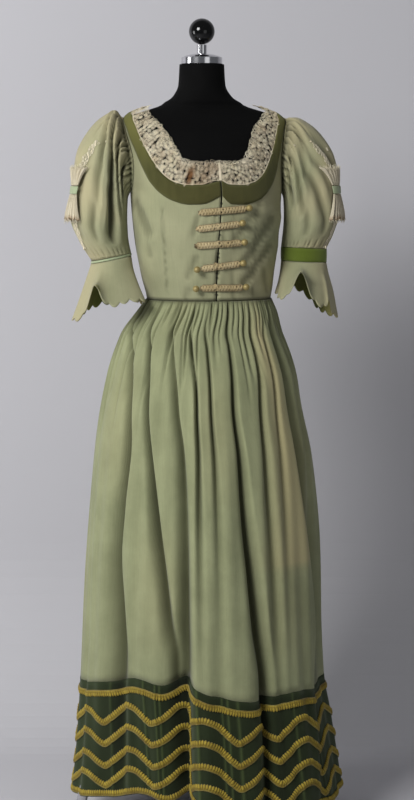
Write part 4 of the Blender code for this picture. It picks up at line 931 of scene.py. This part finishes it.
fronts, velvet, laces = [], [], {}
for side, word in ((-1, "left"), (1, "right")):
    front = panel([(side * closure(z) + 0.55 if k == 0 else a, z) for k, (a, z) in enumerate(FRONT_NECK)],
                  [(side * closure(z) + 0.55 if k == 0 else a, z) for k, (a, z) in enumerate(FRONT_BAND)],
                  side * closure(WAIST_Z) + 0.55, side, 1)
    front[:, 0, 0] = side * (side * closure(front[:, 0, 1]) + 0.55)
    back = panel(BACK_NECK, BACK_BAND, 180.0, side, -1)
    back[:, 0, 0] -= side * 0.10
    for label, grid in (("front", front), ("back", back)):
        plain = on_body(grid[..., 0], grid[..., 1], OUT)
        lift = panel_relief(plain, label == "front")
        edge_calm = np.minimum(1.0, np.linspace(1, 0, grid.shape[0]) * 8)[:, None]
        points = on_body(grid[..., 0], grid[..., 1], OUT + lift * edge_calm)
        uv = np.stack([np.radians(grid[..., 0]) * 0.15, grid[..., 1]], -1)
        yellow = np.clip((np.abs(plain[..., 0] + 0.06) * 3.0) - 0.1, 0, 0.4) * (0.6 + 0.4 * np.sin(plain[..., 2] * 33))
        # painted shade: the troughs of the pulls, thin lines along the seams and a line along the waist are darkened
        creased = np.clip(-lift / 0.006, 0, 0.5)
        if label == "front":
            for line in SEAMS:
                creased = np.maximum(creased, 0.45 * np.exp(-(near_line(plain[..., 0], plain[..., 2], line)[0] / 0.0022) ** 2))
        creased = np.maximum(creased, 0.8 * np.exp(-((plain[..., 2] - WAIST_Z) / 0.003) ** 2))
        piece = sheet_piece(f"bodice_cloth_{label}_{word}", points, uv, WOOL_LIGHT, "wool_light", (f"bodice_{label}_{word}",),
                            fading_and_painted_light=yellow, painted_shade=creased)
        print(piece.name, "area", round(area_of(piece), 4))
        if label == "front":
            fronts.append(piece)
    # the velvet neck band goes right round from the front edge to the back seam
    ring = np.concatenate([front[:NECK_ROWS], back[:NECK_ROWS, -2::-1]], 1)
    plain = on_body(ring[..., 0], ring[..., 1], OUT)
    lift = panel_relief(plain, True) * (plain[..., 1:2] < 0.03)[..., 0]
    ripple = 0.0007 * np.sin(ring[..., 0] * 0.55) * np.sin(ring[..., 0] * 0.21 + 1)
    points = on_body(ring[..., 0], ring[..., 1], OUT + 0.00165 + np.maximum(lift, -0.001) + np.maximum(ripple, 0))
    run = np.concatenate([[0], np.cumsum(np.linalg.norm(np.diff(points[3], axis=0), axis=1))])
    uv = np.stack(np.broadcast_arrays(run[None, :], np.linspace(0, 0.032, NECK_ROWS)[:, None]), -1)
    high = np.clip((points[..., 2] - 1.42) / 0.09, 0, 1)
    piece = sheet_piece(f"neck_velvet_{word}", points, uv, OLIVE, "olive_velvet", (f"neck_band_{word}",), thick=0.0013,
                        fading_and_painted_light=high * 0.85)
    velvet.append(piece)
    print(piece.name, "length", round(run[-1], 3), "area", round(area_of(piece), 4))
    # corners of the lace: along the neck edge and along the loose inner edge
    columns = 240
    outer = np.concatenate([spread(FRONT_NECK, columns // 2), spread(BACK_NECK, columns // 2)[::-1]])
    inner = np.concatenate([spread(LACE_FRONT, columns // 2), spread(LACE_BACK, columns // 2)[::-1]])
    outer[:, 1] += 0.0004
    outer[:, 0] *= side
    inner[:, 0] *= side
    start = side * (side * closure(1.42) + 0.35)
    outer[0, 0] = inner[0, 0] = start
    laces[side] = (outer, inner)

# %% [markdown]
# ## The lace
# The neck is edged with cotton tape lace: rows of small rings worked together, some filled, with a border of
# larger loops at the free edge. The black form shows through the holes. Each ring is a thin bent thread,
# made once as a pattern of points and repeated along the strip.

# %% Lace rings
def rings_at(centres, e1, e2, normal, radius, thread, segments=9, lobes=0.0, turn=0.0):
    """Many small rings of thread as one lot of points and faces."""
    n = len(centres)
    phi = np.arange(segments) * 2 * math.pi / segments
    radius = np.broadcast_to(np.asarray(radius, float), (n,))
    rim = radius[:, None] * (1 + lobes * np.cos(3 * phi[None, :] + np.broadcast_to(turn, (n,))[:, None]))
    spoke = e1[:, None] * np.cos(phi)[None, :, None] + e2[:, None] * np.sin(phi)[None, :, None]
    line = centres[:, None] + spoke * rim[..., None]
    verts = []
    for k in range(3):
        a = 2 * math.pi * k / 3
        verts.append(line + spoke * (thread * math.cos(a)) + normal[:, None] * (thread * math.sin(a)))
    verts = np.stack(verts, 2).reshape(-1, 3)
    base = np.arange(n)[:, None, None] * segments * 3
    s = np.arange(segments)[None, :, None]
    q = np.arange(3)[None, None, :]
    a, b = base + s * 3 + q, base + s * 3 + (q + 1) % 3
    c, d = base + (s + 1) % segments * 3 + (q + 1) % 3, base + (s + 1) % segments * 3 + q
    return verts, [tuple(f) for f in np.stack([a, d, c, b], -1).reshape(-1, 4).tolist()]


def dots_at(centres, e1, e2, normal, radius, high):
    """Small domed spots: rings that the worker filled with thread."""
    n = len(centres)
    phi = np.arange(7) * 2 * math.pi / 7
    low = centres[:, None] + (e1[:, None] * np.cos(phi)[None, :, None] + e2[:, None] * np.sin(phi)[None, :, None]) * radius
    verts = np.concatenate([low - normal[:, None] * high * 0.3, (centres + normal * high)[:, None]], 1).reshape(-1, 3)
    faces = []
    for k in range(n):
        faces += [(k * 8 + s, k * 8 + (s + 1) % 7, k * 8 + 7) for s in range(7)]
        faces.append(tuple(k * 8 + s for s in range(6, -1, -1)))
    return verts, faces


PITCH = 0.0084
for side, word in ((-1, "left"), (1, "right")):
    outer, inner = laces[side]
    low, top = on_body(outer[:, 0], outer[:, 1], OUT), on_body(inner[:, 0], inner[:, 1], OUT)
    middle = (low + top) / 2
    run = np.concatenate([[0], np.cumsum(np.linalg.norm(np.diff(middle, axis=0), axis=1))])
    random.seed(5 + side)
    flowers, edges = [], []
    step = run[-1] / round(run[-1] / PITCH)
    for k in range(round(run[-1] / PITCH)):
        s = (k + 0.5) * step
        o, i = [np.array([np.interp(s, run, line[:, 0]), np.interp(s, run, line[:, 1])]) for line in (outer, inner)]
        width = np.linalg.norm([np.interp(s, run, top[:, c]) - np.interp(s, run, low[:, c]) for c in range(3)])
        count = max(1, round(width / (PITCH * 0.84)))
        for j in range(count):
            share = (j + (0.75 if k % 2 else 0.35) + random.uniform(-.28, .28)) / (count + 0.1)
            share = min(share, 0.95 + 0.07 * math.sin(s * 520))
            near = min(max(s + random.uniform(-1, 1) * 0.0026, 0.002), run[-1])
            o, i = [np.array([np.interp(near, run, line[:, 0]), np.interp(near, run, line[:, 1])]) for line in (outer, inner)]
            flowers.append((*(o + (i - o) * share), share, random.uniform(0, 6.28), random.random(), random.random()))
        for j in range(3):
            near = min(max(s + (j - 1) * PITCH / 3 + random.uniform(-1, 1) * 0.0008, 0.001), run[-1])
            e = np.array([np.interp(near, run, inner[:, 0]), np.interp(near, run, inner[:, 1])])
            e[1] += 0.0014 * math.sin(near * 520) + random.uniform(-.0012, .0012)
            edges.append((*e, random.uniform(.0020, .0050), random.uniform(-1.1, 1.1), random.uniform(0, 1)))
    flowers, edges = np.array(flowers), np.array(edges)

    def on_lace(angle, z, off):
        """Place and the two directions of the lace's surface."""
        centre = on_body(angle, z, off)
        normal = unit(on_body(angle, z, 0.02) - on_body(angle, z, 0.0))
        e1 = unit(on_body(angle + 0.5, z) - on_body(angle - 0.5, z))
        return centre, normal, e1, np.cross(normal, e1)

    lift = 0.0006 + 0.0026 * flowers[:, 5] * flowers[:, 2]
    centre, normal, e1, e2 = on_lace(flowers[:, 0], flowers[:, 1], OUT + lift)
    tilt = unit(normal + e1 * (0.35 * np.cos(flowers[:, 3] * 3))[:, None] + e2 * (0.35 * np.sin(flowers[:, 3] * 3))[:, None])
    lots, shades = [], []
    for petal in range(6):
        phi = flowers[:, 3] + petal * math.pi / 3
        way = e1 * np.cos(phi)[:, None] + e2 * np.sin(phi)[:, None]
        cross_way = unit(np.cross(tilt, way))
        way = np.cross(cross_way, tilt)
        wide = 0.00185 * (0.85 + 0.3 * flowers[:, 5])
        reach_out = 0.0026 * (0.9 + 0.35 * flowers[:, 4])
        lots.append(rings_at(centre + way * reach_out[:, None], way, cross_way, tilt, wide, 0.00050, 7, 0.10, 0.0))
        shades.append(np.repeat(0.30 * flowers[:, 4], 21))
    solid = flowers[:, 4] > 0.15
    lots.append(dots_at(centre[solid], e1[solid], e2[solid], tilt[solid], 0.0017, 0.0011))
    shades.append(np.repeat(0.15 * flowers[solid, 4], 8))
    # the free edge: loops of thread that stand out unevenly
    ec, en, ee1, ee2 = on_lace(edges[:, 0], edges[:, 1], OUT + 0.0016)
    lean = unit(ee2 + ee1 * edges[:, 3:4])
    lots.append(rings_at(ec + lean * 0.0026, lean, unit(np.cross(en, lean)), en, edges[:, 2], 0.00045, 9, 0.12, edges[:, 4] * 3))
    shades.append(np.repeat(0.15 * edges[:, 4], 27))
    # a firm tape holds the front end and the neck edge
    tape = on_body(np.full(16, outer[0, 0]), np.linspace(outer[0, 1], inner[0, 1] + 0.002, 16), OUT + 0.0012)
    lots.append(tube(tape, 0.0019, 6, up=(0, -1, 0)))
    shades.append(np.full(len(lots[-1][0]), 0.1))
    line = on_body(outer[::2, 0], outer[::2, 1] + 0.0012, OUT + 0.0006)
    lots.append(tube(line, 0.0012, 6))
    shades.append(np.full(len(lots[-1][0]), 0.2))
    verts, faces = joined(lots)
    piece = mesh_piece(f"tape_lace_{word}", verts, faces, LACE, "lace", (f"neck_lace_{word}",))
    x, y, z = verts.T
    stain = np.exp(-((x + 0.036) / 0.010) ** 2 - ((z - 1.408 - (x + 0.036) * 1.2) / 0.016) ** 2) * (y < 0)
    brown = 0.30 * np.exp(-((x + 0.002) / 0.028) ** 2) * (y < 0) + 0.10 * np.sin(x * 90) * np.sin(z * 120)
    wear_and_painted_light_mask = piece.data.attributes.new("fading_and_painted_light", "FLOAT", "POINT")
    wear_and_painted_light_mask.data.foreach_set("value", np.clip(stain * 0.9 + brown + np.concatenate(shades), 0, 1).astype(np.float32))
    print(piece.name, "flowers", len(flowers), "faces", len(faces), "area", round(area_of(piece), 4))
    laces[word] = piece

# %% [markdown]
# ## Frogs, balls and hooks
# Five braided cords cross the front opening. Each is a plait of three strands that go over and under each other,
# ending at a worn gilt ball. Small black hooks hold the edges together behind them.

# %% Plaited cords
front_tree = tree_of(*fronts)


def on_front(x, z):
    hit, normal, index, distance = front_tree.ray_cast(Vector((x, -0.3, z)), Vector((0, 1, 0)))
    if hit is None:
        hit, normal, index, distance = front_tree.find_nearest(Vector((x, -0.14, z)))
    return np.array(hit), np.array(normal if normal.y < 0 else -normal)


BALL_R = 0.0070
bpy.ops.mesh.primitive_uv_sphere_add(segments=28, ring_count=18, radius=BALL_R)
ball_pattern = bpy.context.object
pick_faces(ball_pattern, lambda p: abs(p.center.z) < 0.0006)
bpy.ops.transform.resize(value=(1.025, 1.025, 1))
pick_faces(ball_pattern, lambda p: p.center.z > BALL_R * 0.93)
bpy.ops.mesh.inset(thickness=0.0004)
bpy.ops.transform.translate(value=(0, 0, 0.0003))
bpy.ops.object.mode_set(mode="OBJECT")
for number, (z, x_left, x_right, rise, has_left) in enumerate(FROGS):
    steps = 110
    share = np.linspace(0, 1, steps)
    base, out = [], []
    x_right += 0.004
    for s in share:
        p, n = on_front(x_left + (x_right - x_left) * s, z + rise * (1 - 2 * s))
        base.append(p)
        out.append(n)
    base, out = np.array(base), np.array(out)
    for turn in range(6):
        base[1:-1] = (base[:-2] + 2 * base[1:-1] + base[2:]) / 4
        out[1:-1] = (out[:-2] + 2 * out[1:-1] + out[2:]) / 4
    out = unit(out)
    ahead = unit(np.gradient(base, axis=0))
    across = unit(np.cross(ahead, out))
    lots = []
    turns = (x_right - x_left) / 0.0185
    close = np.clip(np.minimum(share, 1 - share) * 14, 0.45, 1)
    shades = []
    for strand in range(3):
        phi = 2 * math.pi * (turns * share + strand / 3)
        path = base + across * (0.0056 * close * np.sin(phi))[:, None] + out * (0.0034 + 0.0016 * np.cos(2 * phi))[:, None]
        thick = 0.00265 * (0.75 + 0.25 * close)
        lots.append(tube(path, thick, 8, up=(0, -1, 0.01)))
        # painted shade: strand points that lie low, towards the cloth, are darkened toward the cord's dark colour
        rise_of = ((lots[-1][0].reshape(-1, 8, 3) - base[:, None]) * out[:, None]).sum(-1)
        shades.append(np.clip(1.0 - (rise_of - 0.0022) / 0.0038, 0, 1).ravel() ** 1.5)
    verts, faces = joined(lots)
    piece = mesh_piece(f"plait_{number + 1}", verts, faces, CORD, "cord", (f"frog_{number + 1}",))
    rust = np.exp(-((verts[:, 0] - x_left) / 0.006) ** 2 - ((verts[:, 2] - 1.262) / 0.006) ** 2) * (number == 2)
    wear_and_painted_light_mask = piece.data.attributes.new("fading_and_painted_light", "FLOAT", "POINT")
    wear_and_painted_light_mask.data.foreach_set("value", np.maximum(np.concatenate(shades) * 0.9, rust).astype(np.float32))
    for word in ["right"] + (["left"] if has_left else []):
        node = f"button_{number + 1}_{word}"
        low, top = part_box(node)
        button = bpy.data.objects.new(f"gilt_{node}", ball_pattern.data.copy())
        bpy.context.scene.collection.objects.link(button)
        turned = np.array([v.co for v in button.data.vertices])[:, [0, 2, 1]] * np.array([1, -1, 1])
        seat = np.array((low + top) / 2) + np.array([-0.0045 if word == "right" else 0.002, -0.0090, 0])
        button.data.vertices.foreach_set("co", (turned + seat).ravel())
        button.data.polygons.foreach_set("use_smooth", np.ones(len(button.data.polygons), bool))
        button.data.materials.append(GILT)
        button.data.update()
        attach(button, "root")
        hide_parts(node)
bpy.data.objects.remove(ball_pattern)

hooks = []
for z in (1.352, 1.287, 1.248, 1.240, 1.205, 1.196, 1.160):
    slit = on_body(closure(z), z, OUT)
    p = np.array(slit)
    phi = np.linspace(0, 2 * math.pi, 14)[:-1]
    hooks.append(tube(p + np.stack([0.0022 * np.cos(phi), 0 * phi - 0.0010, 0.0013 * np.sin(phi)], -1), 0.0005, 5, True, (0, 1, 0)))
mesh_piece("hooks_black_wire", *joined(hooks), BLACK_WIRE, "gloss")
print("frogs", len(FROGS), "hooks", len(hooks))

# %% [markdown]
# ## The sleeves
# Each sleeve is a wide tube gathered into the armhole, puffed out over the arm and gathered again above the
# elbow. Rings down the arm give the puff. Gathers start sharp at the head and fade into it, with a few long soft
# troughs.

# %% Sleeve tubes
SLEEVE_TURNS = 300
sleeve_t = np.arange(SLEEVE_TURNS) * 360.0 / SLEEVE_TURNS
# the long soft folds: ring and turn along the fold's middle, depth, width in degrees
TROUGHS = {-1: [([(0.4, 5), (1, 32), (2, 88), (3, 108), (4, 117), (5, 120), (6, 119), (7, 117)], .0165, 9),
                ([(0.1, 40), (0.7, 62), (1.5, 96), (2.5, 122), (3.5, 136), (4.5, 142)], .0100, 6),
                ([(0.4, -15), (1, 5), (2, 55), (3, 78), (4, 88), (5, 92)], .0070, 7), ([(0.1, 80), (0.8, 104), (1.8, 130), (3, 148)], .0070, 6),
                ([(3, 52), (5, 46), (7, 44)], .0045, 9), ([(4.6, 28), (7, 34)], .0040, 9), ([(4.8, 84), (6, 80), (7, 80)], .0050, 6),
                ([(.4, -30), (4, -24)], .0060, 9), ([(.4, -70), (5, -76)], .0070, 9), ([(.8, -110), (6, -100)], .0070, 9)],
           1: [([(0.4, 45), (2, 75), (3, 86), (4, 82), (5, 74), (6, 62), (7, 58)], .0070, 7),
               ([(0.2, 60), (1, 88), (2, 98), (3, 106), (4, 111), (5.4, 112)], .0070, 5),
               ([(0.3, 15), (1, 40), (2, 62), (3, 66), (4, 58), (5, 46)], .0050, 7), ([(4.4, 104), (7, 98)], .0045, 7),
               ([(0.1, 90), (1, 112), (2, 126), (4, 134)], .0070, 6), ([(2.0, 36), (6.2, 24)], .0040, 9),
               ([(.4, -30), (4, -24)], .0060, 9), ([(.4, -70), (5, -76)], .0070, 9), ([(.8, -110), (6, -100)], .0070, 9)]}


def ring_points(table, turns, side, drift=0.0):
    """Rings of points: turn 0 is the outer side, 90 the front, 180 under the arm."""
    t = np.radians(turns)[None, :]
    ox, oz, ux, uz, deep = [table[:, k][:, None] for k in range(5)]
    cx, cz = (ox + ux) / 2, (oz + uz) / 2
    return np.stack([cx + (ox - cx) * np.cos(t), ARM_Y[side] + drift - deep * np.sin(t), cz + (oz - cz) * np.cos(t)], -1)


sleeves, calm_sleeves = {}, {}
for side, word in ((-1, "left"), (1, "right")):
    head = np.array([arm_edge(t, -0.0009) for t in sleeve_t])
    top = np.maximum(np.cos(np.radians(sleeve_t)), 0)
    head = on_body(side * (90.0 - head[:, 0]), head[:, 1] + 0.0095 * top ** 2, OUT + 0.0021 * top)
    rings = ring_points(np.array(SLEEVES[side]), sleeve_t, side)
    keys = np.concatenate([[head], rings])
    rows = np.concatenate([np.linspace(0, 1, 12)[:-1], np.linspace(1, 8, 46)])
    points = eased(np.arange(9), keys, rows)
    middle = points.mean(1, keepdims=True)
    out = unit(points - middle)
    out[:2] = unit(points[:2] - points[:2].mean(1, keepdims=True))
    random.seed(21 + side)
    relief = np.zeros(points.shape[:2])
    gathers = []
    turn = -118.0
    while turn < 166:
        slant = random.uniform(10, 26) if 0 < turn < 110 else random.uniform(-4, 4)
        gathers.append((turn, slant, random.uniform(1.0, 2.8), random.uniform(.0060, .0110), random.uniform(1.8, 3.0)))
        turn += random.uniform(7.0, 13.0)
    level = rows[:, None]
    for start, pull, lasts, deep, wide in gathers:
        gap = (sleeve_t[None, :] - start - pull * level + 180) % 360 - 180
        fade = np.clip(0.15 + level * 2.6, 0, 1) * np.clip(1 - level / (lasts + 0.6), 0, 1) ** 0.8
        relief -= deep * fade * np.exp(-(gap / wide) ** 2)
    for knots, deep, wide in TROUGHS[side]:
        first, last = knots[0][0], knots[-1][0]
        middle_turn = np.interp(level, [k[0] for k in knots], [k[1] for k in knots])
        gap = (sleeve_t[None, :] - middle_turn + 180) % 360 - 180
        fade = np.sin(math.pi * np.clip((level - first) / (last - first), 0, 1)) ** 0.5
        relief -= deep * fade * (np.exp(-(gap / wide) ** 2) - 0.5 * np.exp(-((np.abs(gap) - 2.1 * wide) / (wide * 1.1)) ** 2))
    seam = np.exp(-((level - 0.22) / 0.16) ** 2) * np.clip(np.sin(np.radians(sleeve_t))[None, :] * 1.6 + 0.3, 0, 1)
    relief -= 0.006 * seam
    for k in range(22):
        start = -130 + k * 14 + random.uniform(-4, 4)
        gap = (sleeve_t[None, :] - start + 180) % 360 - 180
        fade = np.clip((level - 7.2) / 0.5, 0, 1) * np.clip((8.0 - level) / 0.25, 0, 1)
        relief -= random.uniform(.0014, .0030) * fade * np.exp(-(gap / 3.0) ** 2)
    # under the arm the cloth lies against the side of the bodice and stays plain
    plain = 1 - np.exp(-(((sleeve_t[None, :] - 180 + 180) % 360 - 180) / 26) ** 2)
    limit = np.where(level < 0.2, level * 5, 1.0)
    # the same sleeve without its folds, a little further out, for the bows that bridge them
    calm = (points + out * 0.0035).reshape(-1, 3)
    calm_sleeves[side] = BVHTree.FromPolygons(calm.tolist(), grid_faces(*points.shape[:2], True))
    points = points + out * (np.clip(relief, -0.017, 0.006) * plain * limit)[..., None]
    # painted shade: the cloth is darkened as deep as its gathers and troughs go, except under the arm
    dark = np.clip(-relief * plain / 0.0105, 0, 0.84)
    length = np.concatenate([[0], np.cumsum(np.linalg.norm(np.diff(points[:, 75], axis=0), axis=1))])
    uv = np.stack(np.broadcast_arrays(sleeve_t[None, :] / 360 * 0.46, length[:, None]), -1)
    yellow = np.clip(0.25 + 0.45 * np.cos(np.radians(sleeve_t))[None, :] + 0.25 * np.sin(level * 1.7), 0, 0.75)
    piece = sheet_piece(f"sleeve_cloth_{word}", points, uv, WOOL_LIGHT, "wool_light", (f"sleeve_{word}",), True,
                        axis=(float(keys[3:, :, 0].mean()), ARM_Y[side]), fading_and_painted_light=yellow, painted_shade=dark)
    sleeves[side] = piece
    print(piece.name, "area", round(area_of(piece), 4), "length", round(length[-1], 3))

# %% [markdown]
# ## Cuffs and flounces
# A narrow satin ribbon ends the left sleeve and a velvet ribbon the right one. Below hangs a flounce cut in a
# half circle, lined in olive and scalloped along its edge. Its waves lift the edge at the front, where the
# lining shows.

# %% Cuffs and flounces
WAVE_LIFT = {-1: 0.6, 1: 2.4}
# turn of the lifted place in degrees, rise, width in degrees
NOTCHES = {-1: [(62, .062, 18), (-120, .012, 20)], 1: [(100, .060, 17), (38, .020, 9), (-100, .012, 20)]}
for side, word in ((-1, "left"), (1, "right")):
    turns = np.arange(96) * 3.75
    rows = eased([0, 1], np.array(CUFFS[side]), np.linspace(0, 1, 7))
    points = ring_points(rows, turns, side)
    middle = points.mean(1, keepdims=True)
    swell = 0.0007 * np.sin(np.linspace(0, math.pi, 7))[:, None] + 0.0004 * np.sin(np.radians(turns * 5))[None, :]
    points = points + unit(points - middle) * (swell + 0.0003)[..., None]
    uv = np.stack(np.broadcast_arrays(turns[None, :] / 360 * 0.30, np.linspace(0, 0.03, 7)[:, None]), -1)
    cuff = sheet_piece(f"cuff_band_{word}", points, uv, RIBBON if side < 0 else BRIGHT, "ribbon" if side < 0 else "bright_velvet",
                       (f"cuff_{word}",), True, axis=(float(points[..., 0].mean()), ARM_Y[side]), thick=0.0013)

    table = np.array(FLOUNCES[side])
    turns = np.arange(300) * 1.2
    share = np.linspace(0, 1, 20)
    rows = eased([0, 1 / 3, 2 / 3, 1], table, share)
    t = np.radians(turns)[None, :]
    lift = WAVE_LIFT[side]
    for layer, inset in (("cloth", 0.0), ("lining", 0.0019)):
        points = np.stack([ring_points(row[None, :5], turns, side, row[5])[0] for row in rows])
        middle = np.stack([(rows[:, 0] + rows[:, 2]) / 2, ARM_Y[side] + rows[:, 5], (rows[:, 1] + rows[:, 3]) / 2], -1)[:, None]
        wave = share[:, None] ** 1.2 * (0.070 * np.sin(5 * t + lift) + 0.055 * np.sin(3 * t + 1.0) + 0.008 * np.sin(9 * t + 2))
        wave = wave * (1.0 - 1.6 * np.maximum(0.0, -np.cos(t)) * np.maximum(0.0, -np.sin(t)))
        moved = middle + (points - middle) * (1.0 + wave)[..., None]
        moved[..., 2] = points[..., 2]
        drop = -0.008 * np.sin(2 * t + lift)
        for start, rise, wide in NOTCHES[side]:
            drop = drop + rise * np.exp(-(((turns[None, :] - start + 180) % 360 - 180) / wide) ** 2)
        moved[..., 2] += drop * share[:, None] ** 2
        # the scallops run on along the cloth itself
        way = unit(np.gradient(moved, axis=0))
        moved -= way * ((0.0050 * (1 - 2 * np.abs(np.sin(10 * t))) + 0.0012 * np.sin(9 * t + 1)) * share[:, None] ** 2)[..., None]
        moved -= unit(moved - middle) * np.array([1, 1, 0]) * inset
        uv = np.stack(np.broadcast_arrays(turns[None, :] / 360 * 0.50, share[:, None] * 0.115), -1)
        fading_and_painted_light = np.clip(0.35 + 0.3 * np.sin(t * 2 + 1) + 0 * share[:, None], 0, 0.7)
        piece = sheet_piece(f"flounce_{layer}_{word}", moved, uv, WOOL_LIGHT if layer == "cloth" else LINING,
                            "wool_light" if layer == "cloth" else "bright_velvet",
                            (f"flounce_{word}",) if layer == "cloth" else (), True,
                            axis=(float(moved[..., 0].mean()), float(moved[..., 1].mean())),
                            thick=CLOTH if layer == "cloth" else 0.0008, fading_and_painted_light=fading_and_painted_light)
        edge = float(np.linalg.norm(moved[-1] - np.roll(moved[-1], 1, 0), axis=1).sum())
        print(piece.name, "area", round(area_of(piece), 4))

# %% [markdown]
# ## Lace bows on the sleeves
# On each sleeve a pleated scrap of lace is tied in the middle with ribbon, so that it opens like a fan above and
# below, and a narrow line of lace runs up and down from it.

# %% Bows
# name, low, high, width low, width high, pleats, rise, row count, material, slot
TRIMS = [("bow_fan_upper", 1.3865, 1.4225, .022, .036, 6, .0085, LACE_CLOTH, "lace"),
         ("bow_tie", 1.3700, 1.3858, .026, .026, 1, .0052, RIBBON, "ribbon"),
         ("bow_fan_lower", 1.3170, 1.3692, .050, .024, 8, .0095, LACE_CLOTH, "lace")]
for side, word in ((-1, "left"), (1, "right")):
    host = tree_of(sleeves[side])

    def on_sleeve(y, z, tree):
        hit, normal, index, distance = tree.ray_cast(Vector((side * 0.40, y, z)), Vector((-side, 0, 0)))
        if hit is None:
            hit, normal, index, distance = tree.find_nearest(Vector((side * 0.28, y, z)))
        return np.array(hit), np.array(normal if normal.x * side > 0 else -normal)

    def trim_y(z):
        return ARM_Y[side] - 0.044 + 0.018 * (1.40 - z) / 0.14

    for name, low, high, low_wide, high_wide, pleats, rise, paint, slot in TRIMS:
        across, down = 14 * pleats + 1, 12
        points = np.zeros((down, across, 3))
        for r in range(down):
            s = r / (down - 1)
            wide = low_wide + (high_wide - low_wide) * s
            for c in range(across):
                u = c / (across - 1)
                ragged = 0.0
                if "fan" in name:
                    loose = (1 - s) if name.endswith("lower") else s
                    ragged = (0.0022 * math.sin(u * 40) + 0.0016 * math.sin(u * 71 + 1)) * loose * (-1 if name.endswith("lower") else 1)
                z = low + (high - low) * s + ragged
                hit, normal = on_sleeve(trim_y(z) + wide * (u - 0.5), z, calm_sleeves[side])
                open_up = 1.0 if name == "bow_tie" else 0.35 + 0.65 * ((1 - s) if name.endswith("lower") else s)
                puff = rise * open_up * (0.30 + 0.70 * abs(math.sin(math.pi * pleats * u + (0.5 if pleats == 1 else 0)))) + 0.0016
                points[r, c] = hit + normal * puff
        uv = np.stack(np.meshgrid(np.linspace(0, low_wide * 2, across), np.linspace(0, high - low, down)), -1)
        old = np.zeros((down, across))
        if "lower" in name:
            old = np.clip(1 - np.linspace(0, 1, down) * 6, 0, 1)[:, None] * np.ones((1, across)) * 0.7
        piece = sheet_piece(f"{name}_cloth_{word}", points, uv, paint, slot, (f"{name}_{word}",),
                            axis=(side * 0.22, ARM_Y[side]), thick=0.0008, fading_and_painted_light=old)
        size = area_of(piece)
        if "fan" in name:
            # loose threads along the cut edge
            row = 0 if "lower" in name else down - 1
            threads = []
            for c in range(0, across, 2):
                start = points[row, c]
                drop = np.array([0, random.uniform(-1, 1) * 0.0015, random.uniform(.003, .007) * (-1 if "lower" in name else 1)])
                bow_out = np.array([side * random.uniform(-.001, .003), -0.001, 0])
                threads.append(tube([start, start + drop * 0.5 + bow_out, start + drop], 0.00035, 3, up=(1, 0, 0)))
            mesh_piece(f"{name}_fringe_{word}", *joined(threads), LACE, "lace")
        print(piece.name, "area", round(size * 1e4, 1), "cm2")
    for label, low, high in (("upper", 1.4230, 1.4800), ("lower", 1.2560, 1.3150)):
        centres, normals = [], []
        count = int((high - low) / 0.0036)
        for k in range(count):
            z = low + (high - low) * k / (count - 1)
            for lane in (-1, 0, 1):
                p, n = on_sleeve(trim_y(z) + lane * 0.0032 + 0.0012 * math.sin(k * 1.3), z, host)
                centres.append(p + n * 0.0013)
                normals.append(n)
        centres, normals = np.array(centres), np.array(normals)
        e1 = unit(np.cross(normals, np.array([0.0, 0.0, 1.0])))
        e2 = np.cross(normals, e1)
        turn = np.arange(len(centres)) * 1.7
        lots = [rings_at(centres, e1, e2, normals, 0.0021, 0.00055, 9, 0.15, turn),
                dots_at(centres[::2], e1[::2], e2[::2], normals[::2], 0.0018, 0.0008)]
        if label == "lower":
            knot = centres[1] + normals[1] * 0.0015
            phi = np.linspace(0, 2 * math.pi, 13)[:-1]
            lots.append(tube(knot + np.stack([0 * phi, 0.0022 * np.cos(phi), 0.0022 * np.sin(phi)], -1), 0.0014, 6, True, (1, 0, 0)))
        mesh_piece(f"lace_line_{label}_thread_{word}", *joined(lots), LACE, "lace", (f"lace_line_{label}_{word}",))
print("bows done")
